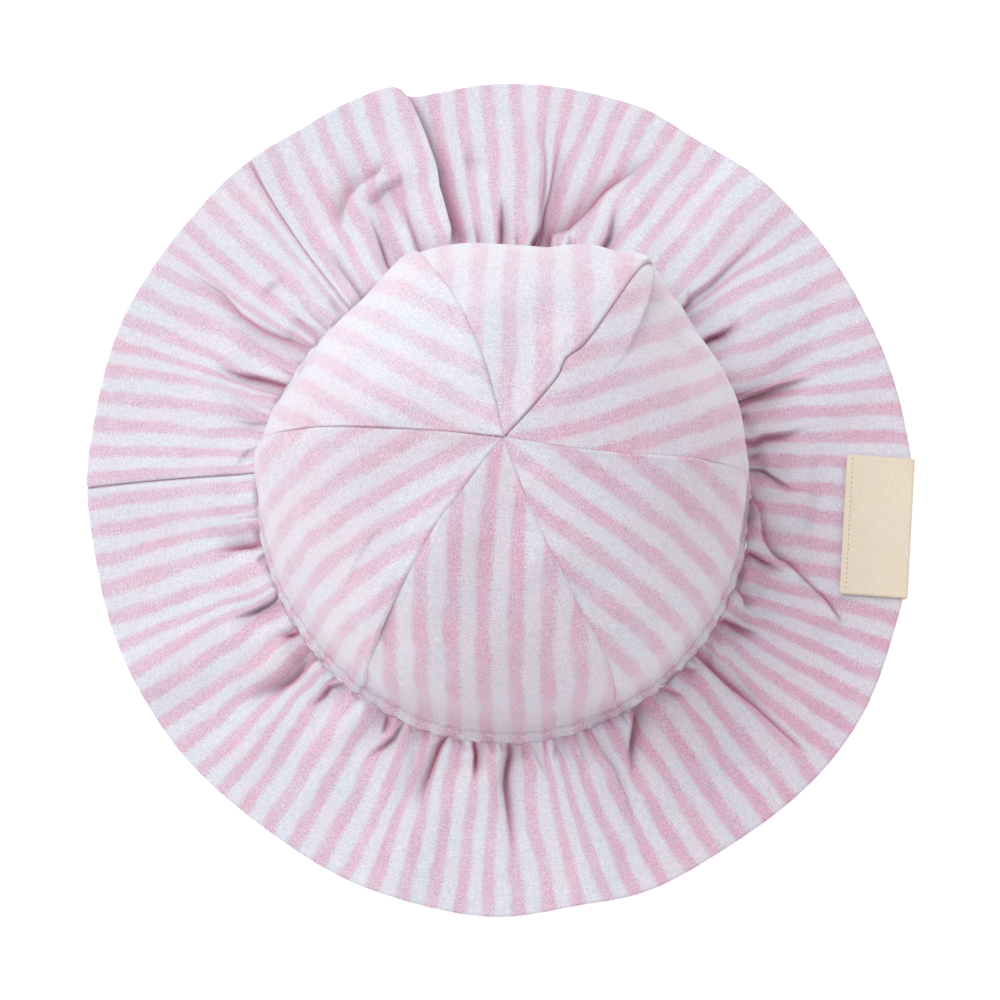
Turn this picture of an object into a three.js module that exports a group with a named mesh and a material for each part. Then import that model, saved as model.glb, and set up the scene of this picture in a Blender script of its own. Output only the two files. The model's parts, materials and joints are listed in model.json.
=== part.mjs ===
// Baby sun hat: six sewn crown panels, a gathered brim joined from two lengths of cloth, and a folded label.
// Millimetres, +Z up. It lies on its brim, and the origin is the bottom centre of its bounding box.
// Azimuths are in degrees, counter-clockwise from +X seen from above, about the centre of the crown's base.

import * as THREE from "three";

// Crown
const HEAD_RADIUS = 76.6;
const CROWN_RISE = 74;
const CROWN_CLOTH = 1.2;
const CROWN_ROUNDNESS = 2.5;
const CROWN_LEAN = 6.6;
const PANEL_FLATNESS = 1.4;
const SEAM_GROOVE_DEPTH = 0.8;
const SEAM_GROOVE_WIDTH = 3;
const SEAM_GROOVE_START = 0.1;
const SEAM_ALLOWANCE = 4;
const CROWN_FOLD_HEIGHT = 3.2;

// Brim
const BRIM_WIDTH = 54;
const BRIM_CLOTH = 2;
const RIM_LIFT = 6;
const RIM_FALL = 1.6;
const GATHER_COUNT = 54;
const GATHER_HEIGHT = 1.5;
const GATHER_REACH = 20;
const BRIM_FOLD_HEIGHT = 4.5;
const HEM_WAVE_HEIGHT = 3;

// Label, folded over the hem
const LABEL_AZIMUTH = -4.1;
const LABEL_LENGTH = 43.5;
const LABEL_DEPTH = 21.3;
const LABEL_CLOTH = 1;

// The label holds the cloth flat as far as 1.3 times its own half length and depth, and lets it go by 2 times
const LABEL_HOLD = 1.3;
const LABEL_RELEASE = 2;

// Clearance between neighbouring pieces
const SEAM_GAP = 0.3;

// Fineness of the faceted sheets
const PANEL_COLUMNS = 8;
const PANEL_ROWS = 10;
const COLUMNS_PER_GATHER = 4;
const BRIM_ROWS = 6;
const LABEL_FOLD_STEPS = 6;
const MEASURING_STEPS = 60;

// Height of the crown's base circle, on top of the brim's inner rim
const SEAM_HEIGHT = RIM_LIFT + BRIM_CLOTH;

// Crown seams in order round the hat: azimuth at the base and, where they turn aside, near the apex
const CROWN_SEAMS = [
  { base: 1, crest: 351 },
  { base: 56, crest: 48 },
  { base: 111, crest: 103 },
  { base: 170, crest: 173 },
  { base: 234, crest: 230 },
  { base: 298, crest: 290 },
];
const SEAM_TURN_START = 0.3;

// Soft folds of the crown. panel: which panel, counted from the first seam. across: share of its width.
// up: share of the way to the apex. length and width: shares of the head radius. turn: degrees from upright,
// clockwise from outside. height: share of CROWN_FOLD_HEIGHT, negative for a dent.
const CROWN_FOLDS = [
  { panel: 0, across: 0.86, up: 0.52, length: 0.4, width: 0.15, turn: -10, height: 1 },
  { panel: 0, across: 0.56, up: 0.6, length: 0.3, width: 0.1, turn: -10, height: -0.4 },
  { panel: 1, across: 0.04, up: 0.5, length: 0.36, width: 0.12, turn: 0, height: 0.8 },
  { panel: 1, across: 0.52, up: 0.6, length: 0.5, width: 0.14, turn: 0, height: 0.45 },
  { panel: 2, across: 0.3, up: 0.5, length: 0.45, width: 0.16, turn: 0, height: 0.4 },
  { panel: 3, across: 0.55, up: 0.42, length: 0.5, width: 0.09, turn: 38, height: -0.6 },
  { panel: 3, across: 0.3, up: 0.68, length: 0.4, width: 0.1, turn: 30, height: 0.4 },
  { panel: 4, across: 0.6, up: 0.66, length: 0.4, width: 0.12, turn: 0, height: -0.45 },
  { panel: 4, across: 0.14, up: 0.4, length: 0.3, width: 0.07, turn: -14, height: -0.5 },
];

// Brim seams, where the two lengths of the brim are joined: azimuth at the hem and at the crown
const SEAM_WEST = { hem: 178.3, rim: 176.2 };
const SEAM_NORTH = { hem: 126.6, rim: 129.6 };

// Hem outline. width: how far the hem lies from the crown, as a share of BRIM_WIDTH.
const HEM_OUTLINE = [
  { azimuth: 7, width: 0.935 },
  { azimuth: 22, width: 0.962 },
  { azimuth: 45, width: 0.992 },
  { azimuth: 61, width: 1.012 },
  { azimuth: 72, width: 1.066 },
  { azimuth: 90, width: 1.072 },
  { azimuth: 101, width: 1.045 },
  { azimuth: 105, width: 1.13 },
  { azimuth: 122, width: 1.09 },
  { azimuth: 150, width: 1.058 },
  { azimuth: 172, width: 1.008 },
  { azimuth: 192, width: 0.96 },
  { azimuth: 212, width: 0.938 },
  { azimuth: 234, width: 0.906 },
  { azimuth: 252, width: 0.935 },
  { azimuth: 269, width: 0.964 },
  { azimuth: 280, width: 0.937 },
  { azimuth: 290, width: 0.961 },
  { azimuth: 302, width: 0.942 },
  { azimuth: 324, width: 0.978 },
  { azimuth: 345, width: 0.945 },
  { azimuth: 356, width: 0.902 },
];

// Main folds of the brim. hem and rim: azimuth of the crest at the hem and at the crown. ahead and behind:
// half widths in degrees, counter-clockwise and clockwise of the crest. height: share of BRIM_FOLD_HEIGHT.
// reach: share of the brim's width over which the fold dies away, more than 1 where it runs out over the hem.
const BRIM_FOLDS = [
  { hem: 104, rim: 101.5, ahead: 7, behind: 2, height: 1, reach: 2 },
  { hem: 59, rim: 76, ahead: 3, behind: 4, height: 0.5, reach: 0.7 },
  { hem: 163, rim: 153, ahead: 4, behind: 2.4, height: 0.55, reach: 0.8 },
  { hem: 333, rim: 352, ahead: 2.6, behind: 3.2, height: 0.55, reach: 0.8 },
  { hem: 320, rim: 319, ahead: 3, behind: 4.5, height: 0.75, reach: 1.5 },
  { hem: 300, rim: 294, ahead: 3, behind: 3, height: 0.4, reach: 0.7 },
  { hem: 287, rim: 284, ahead: 3, behind: 3, height: 0.35, reach: 0.6 },
  { hem: 271, rim: 268, ahead: 3, behind: 3, height: 0.3, reach: 0.5 },
  { hem: 252, rim: 249, ahead: 3, behind: 3, height: 0.35, reach: 0.6 },
  { hem: 243, rim: 240, ahead: 3, behind: 3, height: 0.4, reach: 0.7 },
  { hem: 223, rim: 219, ahead: 3, behind: 3, height: 0.4, reach: 0.6 },
  { hem: 205, rim: 203, ahead: 3, behind: 3, height: 0.25, reach: 0.5 },
  { hem: 190, rim: 188, ahead: 3, behind: 3, height: 0.35, reach: 0.5 },
  { hem: 146, rim: 143, ahead: 3, behind: 3, height: 0.4, reach: 0.6 },
  { hem: 135, rim: 133, ahead: 3, behind: 3, height: 0.4, reach: 0.7 },
  { hem: 120, rim: 110, ahead: 3, behind: 3, height: 0.4, reach: 0.7 },
  { hem: 38, rim: 32, ahead: 3, behind: 3, height: 0.4, reach: 0.6 },
  { hem: 22, rim: 19, ahead: 3, behind: 3, height: 0.35, reach: 0.5 },
];

// Waves of the hem. count: waves in a turn. phase: in degrees. height: share of HEM_WAVE_HEIGHT.
const HEM_WAVES = [
  { count: 9, phase: 40, height: 0.5 },
  { count: 5, phase: 200, height: 0.3 },
  { count: 14, phase: 95, height: 0.25 },
];

// Unevenness of the gathers: how far they wander from equal spacing, as a share of their own spacing
const GATHER_WANDER = [
  { count: 7, phase: 20, share: 0.4 },
  { count: 17, phase: 130, share: 0.15 },
];

const TURN = 360;
const radians = THREE.MathUtils.degToRad;
const degrees = THREE.MathUtils.radToDeg;
const lerp = THREE.MathUtils.lerp;
const smooth = THREE.MathUtils.smoothstep;
const bell = (offset, width) => Math.exp(-((offset / width) ** 2));
const atAzimuth = (azimuth, radius, z) =>
  new THREE.Vector3(radius * Math.cos(radians(azimuth)), radius * Math.sin(radians(azimuth)), z);

// Turn from one azimuth to another: counter-clockwise from 0 to 360 degrees, or signed from -180 to 180
const positiveTurn = (from, to) => THREE.MathUtils.euclideanModulo(to - from, TURN);
const signedTurn = (from, to) => positiveTurn(from, to + TURN / 2) - TURN / 2;

// Sum of a table of waves at an azimuth
function waveSum(waves, column, azimuth) {
  const wave = (row) => row[column] * Math.sin(radians(row.count * azimuth + row.phase));
  return waves.reduce((sum, row) => sum + wave(row), 0);
}

// Corners of a grid's cell, counter-clockwise: rows up, columns on
const CORNERS = [[0, 0], [0, 1], [1, 1], [1, 0]];

// Closed sheet between two grids of points, outer[row][column] and inner[row][column], each counter-clockwise
// seen from outside. A row that has shrunk to one point is given as that point in every column.
function sheetGeometry(outer, inner) {
  const rows = outer.length - 1;
  const columns = outer[0].length - 1;
  const points = new Map();
  const index = (grid, row, column) => {
    const point = grid[row][column];
    if (!points.has(point)) points.set(point, points.size);
    return points.get(point);
  };
  const faces = [];
  const triangle = (a, b, c) => {
    if (a !== b && b !== c && c !== a) faces.push(a, b, c);
  };
  for (let row = 0; row < rows; row += 1) {
    for (let column = 0; column < columns; column += 1) {
      const cell = (grid) => CORNERS.map(([up, on]) => index(grid, row + up, column + on));
      const [a, b, c, d] = cell(outer);
      const [e, f, g, h] = cell(inner);
      triangle(a, b, c);
      triangle(a, c, d);
      triangle(e, g, f);
      triangle(e, h, g);
    }
  }
  const edge = [];
  for (let column = 0; column < columns; column += 1) edge.push([0, column]);
  for (let row = 0; row < rows; row += 1) edge.push([row, columns]);
  for (let column = columns; column > 0; column -= 1) edge.push([rows, column]);
  for (let row = rows; row > 0; row -= 1) edge.push([row, 0]);
  edge.forEach(([row, column], place) => {
    const [nextRow, nextColumn] = edge[(place + 1) % edge.length];
    const [a, b] = [index(outer, row, column), index(outer, nextRow, nextColumn)];
    const [c, d] = [index(inner, row, column), index(inner, nextRow, nextColumn)];
    if (a === b) return;
    triangle(b, a, c);
    triangle(b, c, d);
  });
  const geometry = new THREE.BufferGeometry();
  const positions = [...points.keys()].flatMap((point) => point.toArray());
  geometry.setAttribute("position", new THREE.Float32BufferAttribute(positions, 3));
  geometry.setIndex(faces);
  geometry.computeVertexNormals();
  return geometry;
}

// Crown

// Radius and height of the plain crown form at a share of the way up from the base to the apex
function crownProfile(up) {
  const angle = (up * Math.PI) / 2;
  const power = 2 / CROWN_ROUNDNESS;
  return { radius: HEAD_RADIUS * Math.cos(angle) ** power, rise: CROWN_RISE * Math.sin(angle) ** power };
}

// Outward slope of the plain crown form: shares of a unit vector along the radius and upright
function crownNormal(up) {
  const { radius, rise } = crownProfile(up);
  const along = (radius / HEAD_RADIUS) ** (CROWN_ROUNDNESS - 1) / HEAD_RADIUS;
  const upright = (rise / CROWN_RISE) ** (CROWN_ROUNDNESS - 1) / CROWN_RISE;
  return new THREE.Vector2(along, upright).normalize();
}

// Length of the cloth from the base to the apex
function crownArc() {
  let length = 0;
  for (let step = 0; step < MEASURING_STEPS; step += 1) {
    const here = crownProfile(step / MEASURING_STEPS);
    const next = crownProfile((step + 1) / MEASURING_STEPS);
    length += Math.hypot(next.radius - here.radius, next.rise - here.rise);
  }
  return length;
}
const CROWN_ARC = crownArc();

function seamAzimuth(seam, up) {
  return seam.base + signedTurn(seam.base, seam.crest) * smooth(up, SEAM_TURN_START, 1);
}

// Lift of the soft folds at a place on a panel
function crownFoldLift(panel, across, up, panelWidth) {
  return CROWN_FOLDS.filter((fold) => fold.panel === panel).reduce((lift, fold) => {
    const sideways = (across - fold.across) * panelWidth;
    const upwards = (up - fold.up) * CROWN_ARC;
    const turn = radians(fold.turn);
    const along = upwards * Math.cos(turn) + sideways * Math.sin(turn);
    const aside = sideways * Math.cos(turn) - upwards * Math.sin(turn);
    const shape = bell(along, fold.length * HEAD_RADIUS) * bell(aside, fold.width * HEAD_RADIUS);
    return lift + fold.height * CROWN_FOLD_HEIGHT * shape;
  }, 0);
}

// Azimuth of a panel's first seam, and the turn from there to its second seam
function panelSpan(panel, up) {
  const start = seamAzimuth(CROWN_SEAMS[panel], up);
  const end = seamAzimuth(CROWN_SEAMS[(panel + 1) % CROWN_SEAMS.length], up);
  return { start, span: positiveTurn(start, end) };
}

// Point of a panel's outer face, or of its inner face one cloth deeper
function crownPoint(panel, across, up, depth) {
  const { start, span } = panelSpan(panel, up);
  const { radius, rise } = crownProfile(up);
  const panelWidth = radians(span) * radius;
  const inset = degrees(SEAM_GAP / 2 / radius);
  const azimuth = lerp(start + inset, start + span - inset, across);
  const bulge = Math.sin(Math.PI * up);
  const flat = PANEL_FLATNESS * bulge * Math.cos(2 * Math.PI * across);
  const seamDistance = Math.min(across, 1 - across) * panelWidth;
  const groove = SEAM_GROOVE_DEPTH * bell(seamDistance, SEAM_GROOVE_WIDTH) * smooth(up, 0, SEAM_GROOVE_START);
  const lift = flat - groove + crownFoldLift(panel, across, up, panelWidth) * bulge - depth;
  const slope = crownNormal(up);
  const point = atAzimuth(azimuth, radius + slope.x * lift, SEAM_HEIGHT + rise + slope.y * lift);
  point.y += CROWN_LEAN * (rise / CROWN_RISE) ** 2;
  return point;
}

// The point where a panel's two seams meet, half a gap in from each
function crownTip(panel, depth) {
  const { start, span } = panelSpan(panel, 1);
  const radius = SEAM_GAP / 2 / Math.sin(radians(span / 2));
  const tip = atAzimuth(start + span / 2, radius, SEAM_HEIGHT + CROWN_RISE - SEAM_GROOVE_DEPTH - depth);
  tip.y += CROWN_LEAN;
  return tip;
}

// A panel's face in rows from its seam allowance to its tip. Columns lie closer together beside the seams.
function panelFace(panel, depth) {
  const across = (column) => (1 - Math.cos((Math.PI * column) / PANEL_COLUMNS)) / 2;
  const columns = Array.from({ length: PANEL_COLUMNS + 1 }, (_, column) => across(column));
  const face = [];
  const base = columns.map((share) => crownPoint(panel, share, 0, depth));
  face.push(base.map((point) => new THREE.Vector3(point.x, point.y, SEAM_HEIGHT - SEAM_ALLOWANCE)));
  face.push(base);
  for (let row = 1; row < PANEL_ROWS; row += 1) {
    face.push(columns.map((share) => crownPoint(panel, share, row / PANEL_ROWS, depth)));
  }
  const tip = crownTip(panel, depth);
  face.push(columns.map(() => tip));
  return face;
}

const panelGeometry = (panel) => sheetGeometry(panelFace(panel, 0), panelFace(panel, CROWN_CLOTH));

// Brim

const RIM_RADIUS = HEAD_RADIUS + SEAM_GAP;

function hemRadius(azimuth) {
  const rows = HEM_OUTLINE.length;
  for (let row = 0; row < rows; row += 1) {
    const [here, next] = [HEM_OUTLINE[row], HEM_OUTLINE[(row + 1) % rows]];
    const span = positiveTurn(here.azimuth, next.azimuth);
    const offset = positiveTurn(here.azimuth, azimuth);
    const width = lerp(here.width, next.width, smooth(offset, 0, span));
    if (offset <= span) return RIM_RADIUS + BRIM_WIDTH * width;
  }
  return RIM_RADIUS + BRIM_WIDTH;
}

// The label's fold clears the hem over its whole length, and the cloth inside it lies flat between its leaves
const LABEL_HALF_ANGLE = degrees(Math.asin(LABEL_LENGTH / 2 / (RIM_RADIUS + BRIM_WIDTH)));
const LABEL_SEAT = LABEL_CLOTH + SEAM_GAP;

function labelReach() {
  const reaches = Array.from({ length: MEASURING_STEPS + 1 }, (_, step) => {
    const offset = lerp(-LABEL_HALF_ANGLE, LABEL_HALF_ANGLE, step / MEASURING_STEPS);
    return hemRadius(LABEL_AZIMUTH + offset) * Math.cos(radians(offset));
  });
  return Math.max(...reaches) + SEAM_GAP + LABEL_CLOTH;
}
const LABEL_REACH = labelReach();

// How flat the brim is held by the label: 1 inside and beside the label, and 0 away from it
function labelHold(azimuth, radius) {
  const aside = Math.abs(signedTurn(LABEL_AZIMUTH, azimuth)) / LABEL_HALF_ANGLE;
  const inwards = (LABEL_REACH - radius) / LABEL_DEPTH;
  return (1 - smooth(aside, LABEL_HOLD, LABEL_RELEASE)) * (1 - smooth(inwards, LABEL_HOLD, LABEL_RELEASE));
}

// Height of the brim's underside. out: share of the way from the crown to the hem.
function brimUnderside(azimuth, out) {
  const slope = RIM_LIFT * (1 - out) ** RIM_FALL;
  const wander = waveSum(GATHER_WANDER, "share", azimuth);
  const radius = lerp(RIM_RADIUS, hemRadius(azimuth), out);
  const fade = Math.exp(-(radius - RIM_RADIUS) / GATHER_REACH);
  const gather = GATHER_HEIGHT * fade * Math.cos(radians(GATHER_COUNT * azimuth + TURN * wander));
  const fold = BRIM_FOLDS.reduce((sum, row) => {
    const offset = signedTurn(lerp(row.rim, row.hem, out), azimuth);
    const shape = bell(offset, offset > 0 ? row.ahead : row.behind);
    return sum + row.height * BRIM_FOLD_HEIGHT * shape * (1 - smooth(out, row.reach / 2, row.reach));
  }, 0);
  const wave = HEM_WAVE_HEIGHT * waveSum(HEM_WAVES, "height", azimuth) * out;
  const free = Math.max(0, slope + gather + fold + wave);
  return lerp(free, LABEL_SEAT, labelHold(azimuth, radius));
}

// One length of the brim, counter-clockwise from one brim seam to the other
function brimGeometry(from, to) {
  const span = positiveTurn(from.hem, to.hem);
  const columns = Math.round((span / TURN) * GATHER_COUNT * COLUMNS_PER_GATHER);
  const face = (thickness) => Array.from({ length: BRIM_ROWS + 1 }, (_, row) => {
    const out = 1 - row / BRIM_ROWS;
    const first = lerp(from.rim, from.hem, out);
    const spanHere = positiveTurn(first, lerp(to.rim, to.hem, out));
    return Array.from({ length: columns + 1 }, (__, column) => {
      const middle = first + (spanHere * column) / columns;
      const radius = lerp(RIM_RADIUS, hemRadius(middle), out);
      const inset = degrees(SEAM_GAP / 2 / radius);
      const azimuth = lerp(first + inset, first + spanHere - inset, column / columns);
      return atAzimuth(azimuth, radius, brimUnderside(azimuth, out) + thickness);
    });
  });
  return sheetGeometry(face(BRIM_CLOTH), face(0));
}

// Label: a ribbon folded in a U over the hem, square inside and rounded outside, extruded along its length
function labelGeometry() {
  const top = LABEL_SEAT + BRIM_CLOTH + SEAM_GAP + LABEL_CLOTH;
  const edge = LABEL_REACH - LABEL_DEPTH;
  const fold = LABEL_REACH - LABEL_CLOTH;
  const section = new THREE.Shape();
  section.moveTo(edge, 0);
  for (let step = 0; step <= LABEL_FOLD_STEPS; step += 1) {
    const angle = Math.PI * (step / LABEL_FOLD_STEPS - 0.5);
    section.lineTo(fold + LABEL_CLOTH * Math.cos(angle), (top / 2) * (1 + Math.sin(angle)));
  }
  section.lineTo(edge, top);
  section.lineTo(edge, top - LABEL_CLOTH);
  section.lineTo(fold, top - LABEL_CLOTH);
  section.lineTo(fold, LABEL_CLOTH);
  section.lineTo(edge, LABEL_CLOTH);
  section.closePath();
  const geometry = new THREE.ExtrudeGeometry(section, { depth: LABEL_LENGTH, bevelEnabled: false });
  geometry.rotateX(Math.PI / 2);
  geometry.translate(0, LABEL_LENGTH / 2, 0);
  return geometry;
}

// Assembly

const cloth = (color) => new THREE.MeshStandardMaterial({ color, roughness: 0.95, metalness: 0 });

function piece(name, geometry, material) {
  const mesh = new THREE.Mesh(geometry, material);
  mesh.name = name;
  return mesh;
}

const hat = new THREE.Group();
CROWN_SEAMS.forEach((_, panel) => {
  hat.add(piece(`crown_panel_${panel + 1}`, panelGeometry(panel), cloth(0xd9cfdb)));
});
hat.add(piece("brim_long", brimGeometry(SEAM_WEST, SEAM_NORTH), cloth(0xdaccd9)));
hat.add(piece("brim_short", brimGeometry(SEAM_NORTH, SEAM_WEST), cloth(0xdaccd9)));
const label = piece("label", labelGeometry(), cloth(0xded0bd));
label.rotation.z = radians(LABEL_AZIMUTH);
hat.add(label);

// The origin is the bottom centre of the whole hat's box
hat.updateMatrixWorld(true);
const box = new THREE.Box3().setFromObject(hat, true);
const middle = box.getCenter(new THREE.Vector3());
hat.position.set(-middle.x, -middle.y, -box.min.z);

export default hat;
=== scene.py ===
import json
import math
from collections import namedtuple

import bpy
import numpy as np
from bpy.props import FloatProperty, FloatVectorProperty, PointerProperty
from mathutils import Matrix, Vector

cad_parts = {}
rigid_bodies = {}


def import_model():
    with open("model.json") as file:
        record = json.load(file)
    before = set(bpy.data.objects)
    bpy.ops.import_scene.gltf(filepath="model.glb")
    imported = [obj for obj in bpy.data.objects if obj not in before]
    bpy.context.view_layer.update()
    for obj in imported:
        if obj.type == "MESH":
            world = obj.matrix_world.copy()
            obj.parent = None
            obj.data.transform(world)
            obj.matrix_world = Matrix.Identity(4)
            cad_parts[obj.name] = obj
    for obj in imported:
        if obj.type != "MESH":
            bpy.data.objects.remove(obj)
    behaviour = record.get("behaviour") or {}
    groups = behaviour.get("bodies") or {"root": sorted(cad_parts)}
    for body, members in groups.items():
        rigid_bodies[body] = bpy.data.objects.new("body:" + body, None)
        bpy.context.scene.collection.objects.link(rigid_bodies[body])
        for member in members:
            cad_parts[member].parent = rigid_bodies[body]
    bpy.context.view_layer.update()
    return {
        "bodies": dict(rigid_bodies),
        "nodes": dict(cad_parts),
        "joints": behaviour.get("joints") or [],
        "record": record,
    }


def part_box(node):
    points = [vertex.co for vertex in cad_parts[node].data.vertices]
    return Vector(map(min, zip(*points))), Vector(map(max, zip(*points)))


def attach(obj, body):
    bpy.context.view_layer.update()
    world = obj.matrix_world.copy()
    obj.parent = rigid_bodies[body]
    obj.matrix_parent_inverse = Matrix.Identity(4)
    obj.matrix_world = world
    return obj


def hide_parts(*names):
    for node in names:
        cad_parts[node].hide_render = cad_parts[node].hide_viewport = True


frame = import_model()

bl_info = {
    "name": "Baby sun hat",
    "version": (1, 0, 0),
    "blender": (4, 5, 0),
    "location": "3D View > Sidebar > Sun hat",
    "description": "Sews the crown, brim, label and stitches of a striped baby sun hat",
    "category": "Object",
}

# Sizes are in metres. Azimuths are in degrees, counter-clockwise from +X seen from above, about the crown's centre.
MM = 0.001
TURN = 360.0
CROWN_PANELS = [f"crown_panel_{number}" for number in range(1, 7)]


def table(columns, rows):
    """Rows of numbers as dictionaries, by the names of their columns."""
    return [dict(zip(columns.split(), row)) for row in rows]


def box_of(names):
    """Lowest and highest corners of several nodes together."""
    boxes = [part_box(name) for name in names]
    return np.min([low for low, high in boxes], axis=0), np.max([high for low, high in boxes], axis=0)


crown_low, crown_high = box_of(CROWN_PANELS)
label_low, label_high = box_of(["label"])
CENTRE = (crown_low + crown_high) / 2 * (1, 1, 0)
HEAD_RADIUS = (crown_high[0] - crown_low[0]) / 2

# Crown. Places and spreads are shares of the way up.
CROWN_CLOTH = 1.0 * MM
SEAM_HEIGHT = 8 * MM
CROWN_RISE = crown_high[2] - SEAM_HEIGHT + 0.4 * MM
CROWN_ROUNDNESS = 2.4
CROWN_LEAN = 7.2 * MM
LEAN_CURVE = 1.6
SWELL_PLACE, SWELL_SPREAD = 0.4, 0.36
PANEL_FLATNESS = 1.3 * MM
BASE_FLARE_HEIGHT = 3 * MM
BASE_ROLL = 0.8 * MM
APEX_PLACE = 0.9985
SEAM_ROLL = 0.6 * MM
SEAM_HALF_GAP = 0.02 * MM
SEAM_TURN_START = 0.3
SEAM_HOOK = 0.22
JOG_PLACE, JOG_SPREAD = 0.76, 0.035
SEAM_SHADE, SEAM_SHADE_WIDTH = 0.7, 0.4 * MM

# The seam allowance under the cloth lifts a band beside the seam, with a ridge along it, and puckers the cloth
ALLOWANCE_LIFT = 0.3 * MM
ALLOWANCE_START = (0.4 * MM, 1.5 * MM)
ALLOWANCE_END = (5 * MM, 7 * MM)
ALLOWANCE_RIDGE, RIDGE_AT, RIDGE_WIDTH = 0.35 * MM, 0.8 * MM, 0.45 * MM
PUCKER_HEIGHT, PUCKER_PITCH, PUCKER_REACH, PUCKER_CLEAR = 0.16 * MM, 7 * MM, 5 * MM, 2 * MM

# The band between the topstitching and the brim, whose ripples follow the gathers
STITCH_HEIGHT = 3.0 * MM
BAND_LIFT = 0.3 * MM
STITCH_DIP, STITCH_DIP_WIDTH, STITCH_SHADE = 0.25 * MM, 0.6 * MM, 0.35
RIPPLE_HEIGHT, RIPPLE_COUNT = 0.3 * MM, 70

# Unevenness of the crown: height, size and clearance from the base in millimetres
CROWN_LUMPS = table("height size clear seed", [(0.9, 17, 12, 40), (0.3, 7, 8, 50)])

# Crown seams in order round the hat. base and crest: azimuths at the base and near the apex. pressed: the side that
# the seam allowance lies on, 1 counter-clockwise and -1 clockwise. depth: how deep the seam lies. hook: how far it
# turns off at its foot. jog: how far it steps aside near the apex.
CROWN_SEAMS = table("base crest pressed depth hook jog", [
    (1.0, -9.0, -1, 0.35, 0.0, 0.0), (56.0, 48.0, 1, 0.9, 0.0, 3.0), (111.0, 103.0, 1, 0.3, 0.0, 0.0),
    (171.0, 174.2, 1, 0.8, 9.0, 0.0), (234.0, 230.0, -1, 0.25, 0.0, 0.0), (298.0, 290.0, -1, 0.2, 0.0, 0.0),
])

# Painted light and shade by azimuth. The two columns after the azimuth: how much paler the crown's and the
# brim's stripes are painted where the light falls, less than 0 painting them deeper pink; the last two: how much
# painted shade dims the crown and the brim
PAINTED_LIGHT_AND_SHADE = table("azimuth crown brim crown_dull brim_dull", [
    (0, 0.09, -0.06, 0.2, 0.13), (45, 0.32, 0.18, 0.15, 0), (90, 0.44, 0.14, 0.05, 0.03),
    (135, 0.51, 0.25, 0.05, 0.05), (180, 0.36, 0.16, 0.19, 0.04), (225, 0.13, 0.05, 0.09, 0),
    (270, 0.12, 0.09, 0.2, 0), (315, 0.12, -0.06, 0.05, 0.17),
])

# Stripes of each panel: direction seen from above, shift sideways and pitch in millimetres. bow, fan, sweep and
# side bend them, in millimetres at the crown's edge.
CROWN_STRIPES = table("direction shift pitch bow fan sweep side", [
    (12.3, -2.11, 9.27, -7.55, -8.56, -10.85, -13.28), (88.0, -0.06, 10.21, 2.78, 1.64, -3.21, 4.11),
    (154.2, 5.28, 9.73, 10.57, -0.76, 4.56, 13.37), (205.1, -2.3, 9.47, 2.47, 0.3, -0.59, 11.05),
    (261.0, 7.47, 9.4, -7.21, -6.19, -0.51, -0.64), (-35.3, -2.42, 9.73, -0.13, -1.61, -6.75, -11.97),
])

# How far the crown's side stands out, and how far its base flares, in millimetres
CROWN_SIDES = table("azimuth out flare", [
    (0, 0.4, 2.6), (22, 1.8, 0.8), (38, 1.2, 0.8), (47, 3.4, 0.8), (57, 7.4, 0.8), (66, 4.4, 0.8),
    (84, 0.8, 0.8), (113, 1.4, 0.8), (128, 0.0, 3.2), (150, 0.0, 3.2), (164, 1.4, 1.8), (173, 1.8, 1.6),
    (184, 0.2, 2.0), (195, 0.0, 2.6), (218, -2.2, 3.6), (245, -0.6, 4.8), (262, 0.0, 5.0), (290, 0.0, 4.6),
    (315, 0.2, 3.8), (342, 0.2, 3.2),
])

# A fold: its path as azimuths and shares of the way up or out, the depth of its valley and half its width in
# millimetres, how much painted shade it gets from 0 to 1, how far the cloth to its left or right stands up in
# millimetres, and the share of its length up to which it holds
Fold = namedtuple("Fold", "path dip width dark left right hold", defaults=(0, 0, 0.4))

# What all folds share. Each has a narrow valley in a wide hollow, a step between its sides and, on the side that
# faces the light, a ridge. Widths without a unit are shares of a fold's own width.
FAR = 1.0
FOLD_REACH = 8.0 * MM
FOLD_WIDTH = 1.5
FOLD_SPREAD = 0.9
FOLD_START = 0.3
FOLD_STEP = 0.35 * MM
FOLD_DEPTH = 0.95
VALLEY_SHARE, VALLEY_CURVE = 0.7, 1.5
HOLLOW_SHARE, HOLLOW_WIDTH = 0.75, 3.5 * MM
FOLD_RIDGE = 0.15
RIDGE_START, RIDGE_END = -0.2 * MM, 0.7 * MM
RIDGE_HOLD = 0.7
FOLD_PULL, PULL_DEPTH, PULL_WIDTH = 0.55, 3, 1.8
LIT_SIDE = (-0.8, 0.6)
CROWN_FOLD_EDGE = 0.2
# Painted shade along each fold: its width, taper and spread, narrower on the lit side and wider on the other, and a
# thin painted crease line
SHADE_WIDTH, SHADE_TAPER, SHADE_SPREAD = 1.2, 0.7, 1.3
LIT_NARROWING, DARK_WIDENING = 0.4, 0.7
CREASE_WIDTH, CREASE_SHARE = 0.6 * MM, 0.3

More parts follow.
